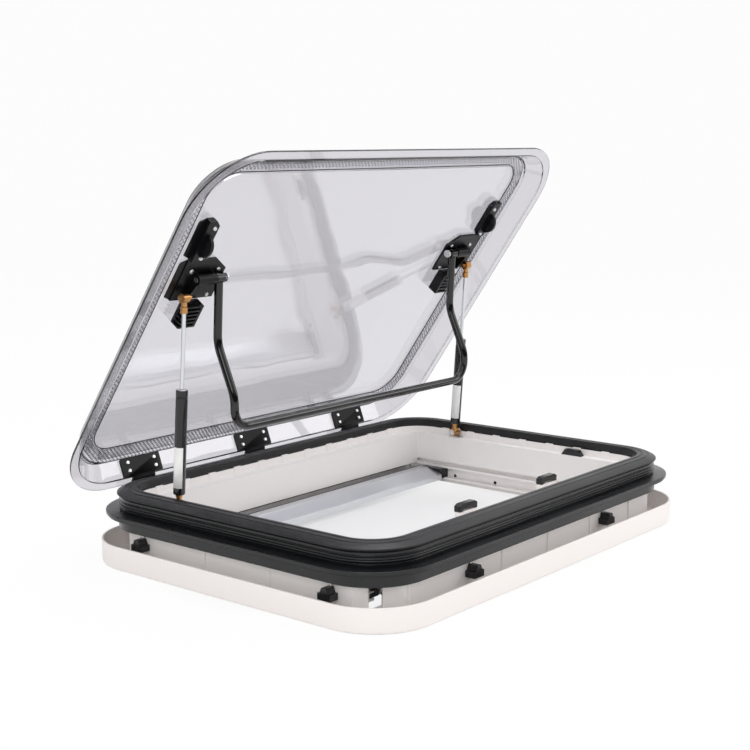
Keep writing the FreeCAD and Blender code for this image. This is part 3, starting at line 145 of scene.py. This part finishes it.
finishes = {
    # cream ABS, satin: pale with a warm cast
    "cream_plastic": moulded("cream ABS, moulded", "F7F1EE", 0.42, 0.8, 0.02, tone=0.01),
    # white ABS, bare from the tool: slightly glossier, faint pink warmth
    "white_plastic": moulded("white ABS, moulded", "F8F4F2", 0.38, 0.8, 0.02, tone=0.01),
    # charcoal ASA, extruded and bent: satin, with bright lines along its rounded edges
    "black_moulding": moulded("charcoal ASA, moulded", "121316", 0.27, 0.9, 0.02, tone=0.15),
    # EPDM rubber seal: softer and a little greyer than the frame
    "seal_rubber": moulded("EPDM rubber, extruded", "19191C", 0.38, 0.7, 0.03, tone=0.15, shine=0.4),
}
print("Moulded finishes:", sorted(finishes))

# %% [markdown]
# ## Glass-filled nylon
#
# Hinge leaves, lid brackets and keepers are glass-filled nylon: blacker than the frame, with a
# coarser grain that breaks the highlights along their edges.

# %% Glass-filled nylon and gloss black
nylon = moulded("glass-filled nylon, black", "0A0A0D", 0.33, 1.1, 0.04, tone=0.2, shine=0.25)


def coated(name, hex_colour, roughness, ripple_mm, coat=0.25):
    """Gloss coat over metal: a smooth dark base with a clear coat and the faintest ripple."""
    material, tree = empty_material(name)
    where = add_node(tree, "ShaderNodeTexCoord", {}).outputs["Object"]
    ripple = add_node(tree, "ShaderNodeTexNoise", {
        "Vector": where, "Scale": 1 / (ripple_mm * MM), "Detail": 1.0})
    bump = add_node(tree, "ShaderNodeBump", {
        "Height": ripple.outputs["Fac"], "Strength": 0.25, "Distance": 0.02 * MM})
    worn = add_node(tree, "ShaderNodeMapRange", {
        "Value": ripple.outputs["Fac"], "To Min": roughness * 0.8, "To Max": roughness * 1.3})
    shader = add_node(tree, "ShaderNodeBsdfPrincipled", {
        "Base Color": linear(hex_colour), "Roughness": worn.outputs["Result"],
        "Normal": bump.outputs["Normal"], "Coat Weight": coat, "Coat Roughness": 0.05})
    add_node(tree, "ShaderNodeOutputMaterial", {"Surface": shader.outputs["BSDF"]})
    return material


finishes["gloss_black_tube"] = coated("steel tube, gloss black coat", "040405", 0.1, 6)
finishes["strut_paint"] = coated("steel cylinder, black paint", "060607", 0.14, 5)

# %% [markdown]
# ## Metals
#
# The bar of the screen is drawn and anodised: fine lines run along it. Screws are zinc-plated,
# rods are ground and chromed, and the strut ends are turned brass. All are metallic shaders that
# differ in colour, roughness and the direction and width of their tool marks.

# %% Metals
def metal(name, hex_colour, roughness, marks_mm, spread):
    """A metal with tool marks: marks_mm gives their size along X, Y and Z."""
    material, tree = empty_material(name)
    where = add_node(tree, "ShaderNodeTexCoord", {}).outputs["Object"]
    scaled = add_node(tree, "ShaderNodeMapping", {
        "Vector": where, "Scale": [1 / (size * MM) for size in marks_mm]})
    marks = add_node(tree, "ShaderNodeTexNoise", {
        "Vector": scaled.outputs["Vector"], "Scale": 1.0, "Detail": 2.0})
    gloss = add_node(tree, "ShaderNodeMapRange", {
        "Value": marks.outputs["Fac"], "From Min": 0.3, "From Max": 0.7,
        "To Min": roughness - spread, "To Max": roughness + spread})
    bump = add_node(tree, "ShaderNodeBump", {
        "Height": marks.outputs["Fac"], "Strength": 0.3, "Distance": 0.02 * MM})
    shader = add_node(tree, "ShaderNodeBsdfPrincipled", {
        "Base Color": linear(hex_colour), "Metallic": 1.0,
        "Roughness": gloss.outputs["Result"], "Normal": bump.outputs["Normal"]})
    add_node(tree, "ShaderNodeOutputMaterial", {"Surface": shader.outputs["BSDF"]})
    return material


finishes["bar_aluminium"] = metal(
    "anodised aluminium, drawn along X", "D4D6DA", 0.34, (60, 0.6, 0.6), 0.06)
finishes["screw_steel"] = metal("zinc-plated steel", "D0D0D2", 0.24, (1.5, 1.5, 1.5), 0.06)
finishes["rod_chrome"] = metal("chromed steel, ground", "DADCE0", 0.1, (8, 8, 0.5), 0.03)
finishes["strut_brass"] = metal("brass, turned", "C2925C", 0.28, (6, 6, 0.6), 0.06)

# %% [markdown]
# ## Cloth on the rollers
#
# Both cloths stay wound up, deep inside the frame. A weave of warp and weft is two crossing
# waves, here drawn coarser than the real 0.3 mm so that it survives at this distance.

# %% Cloth
def woven(name, hex_colour, thread_mm):
    material, tree = empty_material(name)
    where = add_node(tree, "ShaderNodeTexCoord", {}).outputs["Object"]
    threads = []
    for direction in ("X", "Z"):
        wave = add_node(tree, "ShaderNodeTexWave", {
            "Vector": where, "Scale": 1 / (thread_mm * MM * 6.28)}, bands_direction=direction)
        threads.append(wave.outputs["Fac"])
    weave = add_node(tree, "ShaderNodeMath", {0: threads[0], 1: threads[1]}, operation="MULTIPLY")
    bump = add_node(tree, "ShaderNodeBump", {
        "Height": weave.outputs["Value"], "Strength": 0.6, "Distance": 0.2 * MM})
    shader = add_node(tree, "ShaderNodeBsdfPrincipled", {
        "Base Color": linear(hex_colour), "Roughness": 0.85, "Normal": bump.outputs["Normal"]})
    add_node(tree, "ShaderNodeOutputMaterial", {"Surface": shader.outputs["BSDF"]})
    return material


finishes["screen_cloth"] = woven("polyester net, black", "1D1D1F", 1.2)
finishes["blind_cloth"] = woven("polyester blackout cloth, pale", "D9D4CB", 0.9)

# %% [markdown]
# ## Clear acrylic
#
# The lid is cast acrylic with a light smoke tint. It bends light (index 1.49) and loses a little
# of it at each face, so places where four faces lie behind one another look darker than the
# single lip. A slow wave in the surface, far too shallow to see, makes its reflections swim.

# %% Clear acrylic
SWIM_MM = 160  # length of the slow wave in the surface


def acrylic(name, hex_colour, roughness):
    material, tree = empty_material(name)
    where = add_node(tree, "ShaderNodeTexCoord", {}).outputs["Object"]
    swim = add_node(tree, "ShaderNodeTexNoise", {
        "Vector": where, "Scale": 1 / (SWIM_MM * MM), "Detail": 1.0})
    bump = add_node(tree, "ShaderNodeBump", {
        "Height": swim.outputs["Fac"], "Strength": 0.4, "Distance": 2.5 * MM})
    haze = add_node(tree, "ShaderNodeMapRange", {
        "Value": swim.outputs["Fac"], "To Min": roughness * 0.7, "To Max": roughness * 1.4})
    shader = add_node(tree, "ShaderNodeBsdfPrincipled", {
        "Base Color": linear(hex_colour), "Roughness": haze.outputs["Result"],
        "Normal": bump.outputs["Normal"], "IOR": 1.49, "Transmission Weight": 1.0})
    passing = add_node(tree, "ShaderNodeBsdfTransparent", {"Color": linear(hex_colour)})
    path = add_node(tree, "ShaderNodeLightPath", {})
    both = add_node(tree, "ShaderNodeMixShader", {
        0: path.outputs["Is Shadow Ray"], 1: shader.outputs["BSDF"], 2: passing.outputs["BSDF"]})
    add_node(tree, "ShaderNodeOutputMaterial", {"Surface": both.outputs["Shader"]})
    return material


finishes["smoke_acrylic"] = acrylic("acrylic, light smoke", "D8D6DB", 0.015)
finishes["smoke_inner"] = acrylic("acrylic, inner pane", "FCFCFD", 0.015)
# the spacer between the panes is a clear, slightly cloudy resin
finishes["bond_compound"] = acrylic("bonding resin, clear", "EDEDF0", 0.12)
print("Finishes so far:", len(finishes))

# %% [markdown]
# ## From loose triangles to a crisp moulding
#
# The engineering model comes as loose triangles with knife-sharp edges. No real moulding has
# such edges: the tool leaves a small radius, and that radius is what catches the light. Each
# solid is copied, its doubled points are merged, flat triangles become whole faces, and a bevel
# rounds every edge that turns sharply. A face with a hole through it can't become one face, so
# frames, panes and seals only have their triangles paired. The copy then stands in for the solid.

# %% Dress a solid
slots = {part["node"]: part["material_slot"] for part in frame["record"]["subparts"]}
bodies = frame["record"]["behaviour"]["bodies"]
body_of = {node: body for body, nodes in bodies.items() for node in nodes}


def finish_piece(piece, node, material):
    """Give a piece its material, and let it ride with the body of a CAD node."""
    piece.data.materials.clear()
    piece.data.materials.append(material)
    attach(piece, body_of[node])


# solids with a hole right through their largest faces
RINGS = {
    "trim_frame", "inner_frame", "outer_frame", "rim_seal", "roof_gasket",
    "outer_pane", "inner_pane", "bond_strip"}
FLAT_DEG = 0.6  # triangles that turn by less than this lie in one face


def dress(node, radius_mm, material=None, steps=2, sharp=28):
    """A copy of a solid with rounded edges, which stands in for it."""
    mesh = frame["nodes"][node].data.copy()
    mesh.name = node + "_look"
    shape = bmesh.new()
    shape.from_mesh(mesh)
    bmesh.ops.remove_doubles(shape, verts=shape.verts, dist=0.004 * MM)
    if node in RINGS:
        bmesh.ops.join_triangles(
            shape, faces=shape.faces, angle_face_threshold=math.radians(FLAT_DEG),
            angle_shape_threshold=math.pi)
    else:
        bmesh.ops.dissolve_limit(
            shape, angle_limit=math.radians(FLAT_DEG), verts=shape.verts, edges=shape.edges,
            delimit={"NORMAL"})
    for edge in shape.edges:
        edge.smooth = edge.is_manifold and edge.calc_face_angle(math.pi) < math.radians(sharp)
    for face in shape.faces:
        face.smooth = True
    shape.to_mesh(mesh)
    shape.free()
    piece = bpy.data.objects.new(node + "_look", mesh)
    bpy.context.scene.collection.objects.link(piece)
    if radius_mm:
        bevel = piece.modifiers.new("tool radius", "BEVEL")
        bevel.width = radius_mm * MM
        bevel.segments = steps
        bevel.limit_method = "ANGLE"
        bevel.angle_limit = math.radians(sharp)
        bevel.use_clamp_overlap = node not in RINGS
        bevel.harden_normals = True
        bevel.miter_outer = "MITER_ARC"
    finish_piece(piece, node, material or finishes[slots[node]])
    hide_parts(node)
    return piece


# %% [markdown]
# ## Dress the frame, the lid and the struts
#
# Large mouldings get a radius of about half a millimetre, small clips less, and turned parts
# almost none.

# %% Dress every solid
radii = {
    "trim_frame": 0.8, "inner_frame": 0.4, "outer_frame": 0.8, "rim_seal": 0.5, "roof_gasket": 0.5,
    "roof_clamps": 0.6, "front_catches": 0.8, "side_catches": 0.8, "outer_pane": 0.7, "inner_pane": 0.3,
    "bond_strip": 0.3, "bail_handle": 0.0, "screen_bar": 0.4, "blind_bar": 0.3, "screen_edge": 0.3,
    "clamp_screws": 0.2, "corner_screws": 0.4, "hinge_pins": 0.3, "lid_screws": 0.25}
special = {"inner_pane": finishes["smoke_inner"]}
for part in ("lid_bracket", "latch_block", "keeper", "hinge_leaf", "frame_hinge"):
    for side in ("left", "centre", "right"):
        if part + "_" + side in frame["nodes"]:
            radii[part + "_" + side] = 0.7
            special[part + "_" + side] = nylon
dressed = {}
for node in sorted(frame["nodes"]):
    sharp = 16 if special.get(node) is nylon else 28
    dressed[node] = dress(node, radii.get(node, 0.25), special.get(node), sharp=sharp)
faces = sum(len(piece.data.polygons) for piece in dressed.values())
print("Dressed", len(dressed), "solids,", faces, "faces before their bevels")

# %% [markdown]
# ## Labels on the gas struts
#
# Each cylinder carries a paper label, left blank here. A label is a thin skin bent round the
# cylinder, so it is drawn in the cylinder's own frame and then leaned into place.

# %% Blank labels
foot = {"left": Vector((-337, 140, 97.5)) * MM, "right": Vector((337, 140, 97.5)) * MM}
lean = math.atan2(24.785, 304.411)  # from the run of an open strut along Y and Z
LABEL_STEPS, LABEL_THICK_MM = 18, 0.12


def label(side, radius_mm, low_mm, high_mm, facing_deg, wrap_deg):
    mesh = bpy.data.meshes.new("strut_label_" + side)
    shape = bmesh.new()
    rows = []
    for skin in (radius_mm, radius_mm + LABEL_THICK_MM):
        for height in (low_mm, high_mm):
            row = []
            for step in range(LABEL_STEPS + 1):
                angle = math.radians(facing_deg + wrap_deg * (step / LABEL_STEPS - 0.5))
                spot = (skin * math.cos(angle) * MM, skin * math.sin(angle) * MM, height * MM)
                row.append(shape.verts.new(spot))
            rows.append(row)
    inner_low, inner_high, outer_low, outer_high = rows
    sides = (
        (outer_low, outer_high), (inner_high, inner_low),
        (outer_high, inner_high), (inner_low, outer_low))
    for step in range(LABEL_STEPS):
        for a, b in sides:
            shape.faces.new((a[step], a[step + 1], b[step + 1], b[step]))
    for end in (0, LABEL_STEPS):
        shape.faces.new((inner_low[end], inner_high[end], outer_high[end], outer_low[end]))
    bmesh.ops.recalc_face_normals(shape, faces=shape.faces)
    shape.transform(Matrix.Translation(foot[side]) @ Matrix.Rotation(lean, 4, "X"))
    for face in shape.faces:
        face.smooth = len(face.verts) == 4
    shape.to_mesh(mesh)
    shape.free()
    piece = bpy.data.objects.new("strut_label_" + side, mesh)
    bpy.context.scene.collection.objects.link(piece)
    return piece


paper = moulded("coated paper, white", "F4F4F2", 0.3, 0.5, 0.01, tone=0.02)
for side in ("left", "right"):
    piece = label(side, 8.82, 27, 88, 180, 150)
    finish_piece(piece, "strut_tube_" + side, paper)
print("Labels: 2")

# %% [markdown]
# ## The printed band and the dark lines along it
#
# Where the inner pane is bonded, a band of small grey dots is printed on it. A thin black bead runs
# along each side of the band; the inner one is painted shade, a dark line that stands in for the
# refraction at the step of the pane. So many equal dots are a task for Geometry Nodes: a few lines
# work out where the dots sit, and the tree puts one flat disc on each place. The dark lines are made
# by a second tree, which sweeps a small circle along a rounded rectangle. All is laid out on the
# shut lid, in millimetres, and then turned open about the hinge.

# %% The open lid, and places inside the band
BAND_FACE = 113.5  # height of the band's room side on the shut lid
OPEN_DEG = 54.6
DOT_PITCH, DOT_RADIUS, DOT_THICK = 5.2, 1.75, 0.1
hinge = Vector((0, 322, 79)) * MM
outer_line = {"low_x": -388.4, "high_x": 374.0, "low_y": -282.6, "high_y": 282.6, "radius": 62}
inner_line = {"low_x": -368.0, "high_x": 352.0, "low_y": -266.3, "high_y": 250.0, "radius": 44}


def open_lid(shut):
    """Where a point of the shut lid lies now that the lid stands open."""
    turned = Matrix.Rotation(math.radians(-OPEN_DEG), 4, "X")
    return Matrix.Translation(hinge) @ turned @ Matrix.Translation(-hinge) @ shut


def inside(x, y, line, margin=0.0):
    """Whether a place lies inside a rounded rectangle, moved in by a margin."""
    radius = line["radius"] - margin
    reach_x = (line["high_x"] - line["low_x"]) / 2 - margin - radius
    reach_y = (line["high_y"] - line["low_y"]) / 2 - margin - radius
    beyond_x = max(abs(x - (line["high_x"] + line["low_x"]) / 2) - reach_x, 0)
    beyond_y = max(abs(y - (line["high_y"] + line["low_y"]) / 2) - reach_y, 0)
    return math.hypot(beyond_x, beyond_y) < radius


def dot_places(pitch_mm):
    """Places on a grid turned by 45 degrees, inside the band, as a mesh of loose points."""
    step = pitch_mm * math.sqrt(0.5)
    count = int(700 / step)
    spots = []
    for row in range(-count, count + 1):
        for column in range(-count, count + 1):
            x, y = (row + column) * step, (row - column) * step
            if inside(x, y, outer_line, 2.0) and not inside(x, y, inner_line, -2.2):
                spots.append((x * MM, y * MM, (BAND_FACE - 0.06) * MM))
    mesh = bpy.data.meshes.new("dot_places")
    mesh.from_pydata(spots, [], [])
    places = bpy.data.objects.new("dot_places", mesh)
    bpy.context.scene.collection.objects.link(places)
    return places


# %% Trees for dots and seams
def new_tree(name, sizes):
    """A Geometry Nodes tree with named number inputs and a material input."""
    tree = bpy.data.node_groups.new(name, "GeometryNodeTree")
    tree.interface.new_socket("Geometry", in_out="INPUT", socket_type="NodeSocketGeometry")
    for label_text, default in sizes:
        socket = tree.interface.new_socket(label_text, in_out="INPUT", socket_type="NodeSocketFloat")
        socket.default_value = default
    tree.interface.new_socket("Finish", in_out="INPUT", socket_type="NodeSocketMaterial")
    tree.interface.new_socket("Geometry", in_out="OUTPUT", socket_type="NodeSocketGeometry")
    return tree, add_node(tree, "NodeGroupInput", {}).outputs


def finish_tree(tree, geometry, finish):
    """End a tree: set the material and give the geometry out."""
    painted = add_node(tree, "GeometryNodeSetMaterial", {"Geometry": geometry, "Material": finish})
    add_node(tree, "NodeGroupOutput", {"Geometry": painted.outputs["Geometry"]})
    return tree


def dot_tree():
    tree, given = new_tree("a disc on each place", (("Radius", 0.0015), ("Thickness", 0.0001)))
    disc = add_node(tree, "GeometryNodeMeshCylinder", {
        "Vertices": 6, "Radius": given["Radius"], "Depth": given["Thickness"]})
    places = add_node(tree, "GeometryNodeMeshToPoints", {"Mesh": given["Geometry"]})
    discs = add_node(tree, "GeometryNodeInstanceOnPoints", {
        "Points": places.outputs["Points"], "Instance": disc.outputs["Mesh"]})
    real = add_node(tree, "GeometryNodeRealizeInstances", {"Geometry": discs.outputs["Instances"]})
    return finish_tree(tree, real.outputs["Geometry"], given["Finish"])


def dark_line_tree():
    tree, given = new_tree("a bead along a path", (("Radius", 0.0008),))
    circle = add_node(tree, "GeometryNodeCurvePrimitiveCircle", {
        "Resolution": 8, "Radius": given["Radius"]})
    bead = add_node(tree, "GeometryNodeCurveToMesh", {
        "Curve": given["Geometry"], "Profile Curve": circle.outputs["Curve"]})
    real = add_node(tree, "GeometryNodeRealizeInstances", {"Geometry": bead.outputs["Mesh"]})
    return finish_tree(tree, real.outputs["Geometry"], given["Finish"])


# %% Run a tree and keep its result
def grown(name, source, tree, values):
    """The tree's result on an object as a plain mesh object; the object itself is removed."""
    growth = source.modifiers.new(tree.name, "NODES")
    growth.node_group = tree
    for item in tree.interface.items_tree:
        if item.in_out == "INPUT" and item.name in values:
            growth[item.identifier] = values[item.name]
    evaluated = source.evaluated_get(bpy.context.evaluated_depsgraph_get())
    mesh = bpy.data.meshes.new_from_object(evaluated)
    bpy.data.objects.remove(source)
    piece = bpy.data.objects.new(name, mesh)
    bpy.context.scene.collection.objects.link(piece)
    return piece


ink = moulded("screen ink, grey", "77777D", 0.5, 0.8, 0.03, tone=0.1)
dots = grown("band_dots", dot_places(DOT_PITCH), dot_tree(), {
    "Radius": DOT_RADIUS * MM, "Thickness": DOT_THICK * MM, "Finish": ink})
dots.data.transform(open_lid(Matrix.Identity(4)))
finish_piece(dots, "inner_pane", ink)
print("Printed band:", len(dots.data.polygons) // 8, "dots")

# %% Dark beads along the band; the inner one is painted shade
def closed_route(name, line, height, steps=14):
    """A closed curve round a rounded rectangle on the shut lid."""
    radius = line["radius"]
    spots = []
    for corner in range(4):
        middle_x = line["high_x"] - radius if corner in (0, 3) else line["low_x"] + radius
        middle_y = line["high_y"] - radius if corner in (0, 1) else line["low_y"] + radius
        for step in range(steps + 1):
            angle = math.radians(90 * corner + 90 * step / steps)
            spots.append((middle_x + radius * math.cos(angle), middle_y + radius * math.sin(angle)))
    curve = bpy.data.curves.new(name, "CURVE")
    curve.dimensions = "3D"
    spline = curve.splines.new("POLY")
    spline.points.add(len(spots) - 1)
    for point, (x, y) in zip(spline.points, spots):
        point.co = (x * MM, y * MM, height * MM, 1)
    spline.use_cyclic_u = True
    route = bpy.data.objects.new(name, curve)
    bpy.context.scene.collection.objects.link(route)
    return route


# painted shade: the black bead along the inner edge of the band stands in for the dark line that
# refraction at the step of the pane shows
dark_line_finish = coated("butyl seam, black", "0A0A0C", 0.3, 4)
beads = dark_line_tree()
dark_lines = (
    ("dark_line_inner", inner_line, BAND_FACE + 0.2, 0.95),
    ("dark_line_outer", outer_line, BAND_FACE + 0.3, 0.75))
for name, line, height, radius in dark_lines:
    seam = grown(name, closed_route(name + "_route", line, height), beads, {
        "Radius": radius * MM, "Finish": dark_line_finish})
    for face in seam.data.polygons:
        face.use_smooth = True
    seam.data.transform(open_lid(Matrix.Identity(4)))
    finish_piece(seam, "inner_pane", dark_line_finish)
print("Seams:", len(dark_lines))

# %% [markdown]
# ## Studio
#
# The object stands on a pale sweep: a floor that curves up far behind. Its material is partly
# light of its own when seen directly, in a reflection or through the lid, so that it stays white
# there and still takes the object's soft shadow. Within the light well its glow is turned down to
# a grey: painted shade under the object. In reflections its glow is a painted reflection: bright
# close by and to the right, dim further off, so that black tubes stay black.

# %% Floor and world
def sweep():
    """A floor that is level to 5 m behind the object, seen from the camera, and then curves up."""
    mesh = bpy.data.meshes.new("sweep")
    shape = bmesh.new()
    away = Vector((math.sin(-heading), math.cos(-heading), 0))
    across = Vector((away.y, -away.x, 0))
    profile = [(-8, 0), (5, 0)]
    for angle in range(10, 91, 10):
        turned = math.radians(angle)
        profile.append((5 + 3 * math.sin(turned), 3 - 3 * math.cos(turned)))
    profile += [(8, 9)]
    rows = []
    for side in (-12, 12):
        spots = [away * run + across * side + Vector((0, 0, rise)) for run, rise in profile]
        rows.append([shape.verts.new(spot) for spot in spots])
    for step in range(len(profile) - 1):
        shape.faces.new((rows[0][step], rows[0][step + 1], rows[1][step + 1], rows[1][step]))
    bmesh.ops.recalc_face_normals(shape, faces=shape.faces)
    for face in shape.faces:
        face.smooth = True
    shape.to_mesh(mesh)
    shape.free()
    floor = bpy.data.objects.new("sweep", mesh)
    bpy.context.scene.collection.objects.link(floor)
    return floor


floor = sweep()
floor_finish, tree = empty_material("paper sweep, white")
path = add_node(tree, "ShaderNodeLightPath", {}).outputs
place = add_node(tree, "ShaderNodeTexCoord", {}).outputs["Object"]
# seen directly or through the lid: white, with painted shade under the object, where the glow is turned
# down to a grey
oval = add_node(tree, "ShaderNodeVectorMath", {0: place, 1: (1, 1.35, 0)}, operation="MULTIPLY")
oval = add_node(tree, "ShaderNodeVectorMath", {0: oval.outputs["Vector"]}, operation="LENGTH")
# painted shade: the glow falls from white to grey under the object and in the light well
white_less_painted_shade = add_node(tree, "ShaderNodeMapRange", {
    "Value": oval.outputs["Value"], "From Min": 0.25, "From Max": 0.44,
    "To Min": 0.3, "To Max": 0.93}).outputs["Result"]
direct = add_node(tree, "ShaderNodeMath", {
    0: path["Is Camera Ray"], 1: path["Is Transmission Ray"]}, operation="MAXIMUM")
direct = add_node(tree, "ShaderNodeMath", {
    0: direct.outputs["Value"], 1: white_less_painted_shade}, operation="MULTIPLY")
# seen in a reflection only: a painted reflection, bright close by and to the right, dim further off
reach = add_node(tree, "ShaderNodeVectorMath", {0: place}, operation="LENGTH").outputs["Value"]
away_part = add_node(tree, "ShaderNodeMapRange", {
    "Value": reach, "From Min": 0.9, "From Max": 2.0, "To Min": 0.0, "To Max": 1.0}).outputs["Result"]
to_right = add_node(tree, "ShaderNodeVectorMath", {
    0: place, 1: (0.77, -0.64, 0)}, operation="DOT_PRODUCT")
right_part = add_node(tree, "ShaderNodeMapRange", {
    "Value": to_right.outputs["Value"], "From Min": 0.6, "From Max": 1.6,
    "To Min": 0.08, "To Max": 0.9})
# painted reflection: a glow that only reflections see, so that black tubes stay black
painted_reflection_glow = add_node(tree, "ShaderNodeMix", {
    "Factor": away_part, "A": 0.75, "B": right_part.outputs["Result"]}).outputs["Result"]
painted_reflection_glow = add_node(tree, "ShaderNodeMath", {
    0: path["Is Glossy Ray"], 1: painted_reflection_glow}, operation="MULTIPLY")
part = add_node(tree, "ShaderNodeMath", {
    0: direct.outputs["Value"], 1: painted_reflection_glow.outputs["Value"]}, operation="MAXIMUM")
matt = add_node(tree, "ShaderNodeBsdfDiffuse", {"Color": linear("F2F2F2")})
glow = add_node(tree, "ShaderNodeEmission", {"Color": (1, 1, 1, 1), "Strength": 1.0})
both = add_node(tree, "ShaderNodeMixShader", {
    0: part.outputs["Value"], 1: matt.outputs["BSDF"], 2: glow.outputs["Emission"]})
add_node(tree, "ShaderNodeOutputMaterial", {"Surface": both.outputs["Shader"]})
floor.data.materials.append(floor_finish)

world = bpy.data.worlds.new("studio")
world.use_nodes = True
world.node_tree.nodes.clear()
tree = world.node_tree
path = add_node(tree, "ShaderNodeLightPath", {}).outputs
seen = add_node(tree, "ShaderNodeMath", {
    0: path["Is Camera Ray"], 1: path["Is Transmission Ray"]}, operation="MAXIMUM")
ambient = add_node(tree, "ShaderNodeBackground", {"Color": (1, 1, 1, 1), "Strength": 0.78})
white = add_node(tree, "ShaderNodeBackground", {"Color": (1, 1, 1, 1), "Strength": 1.0})
direction = add_node(tree, "ShaderNodeTexCoord", {}).outputs["Generated"]
height = add_node(tree, "ShaderNodeSeparateXYZ", {"Vector": direction}).outputs["Z"]
fall = add_node(tree, "ShaderNodeMapRange", {
    "Value": height, "From Min": 0.22, "From Max": 0.65, "To Min": 0.1, "To Max": 1.15})
room = add_node(tree, "ShaderNodeBackground", {
    "Color": (1, 1, 1, 1), "Strength": fall.outputs["Result"]})
lit = add_node(tree, "ShaderNodeMixShader", {
    0: path["Is Glossy Ray"], 1: ambient.outputs["Background"], 2: room.outputs["Background"]})
both = add_node(tree, "ShaderNodeMixShader", {
    0: seen.outputs["Value"], 1: lit.outputs["Shader"], 2: white.outputs["Background"]})
add_node(tree, "ShaderNodeOutputWorld", {"Surface": both.outputs["Shader"]})
bpy.context.scene.world = world

# %% Lamps
def softbox(name, place, aim, size, watts):
    """A square lamp that shines from a place to an aim, both in metres."""
    lamp = bpy.data.lights.new(name, "AREA")
    lamp.size = size
    lamp.energy = watts
    holder = bpy.data.objects.new(name, lamp)
    holder.location = place
    holder.rotation_euler = (Vector(aim) - Vector(place)).to_track_quat("-Z", "Y").to_euler()
    bpy.context.scene.collection.objects.link(holder)


softbox("overhead", (0.2, 0.0, 2.6), (0, 0, 0.1), 2.0, 28)
softbox("front left", (-2.4, -1.2, 1.5), (0, 0, 0.15), 1.2, 11)
softbox("right", (2.0, -1.8, 1.3), (0, 0, 0.1), 1.2, 12)
bpy.context.scene.view_settings.view_transform = "Standard"
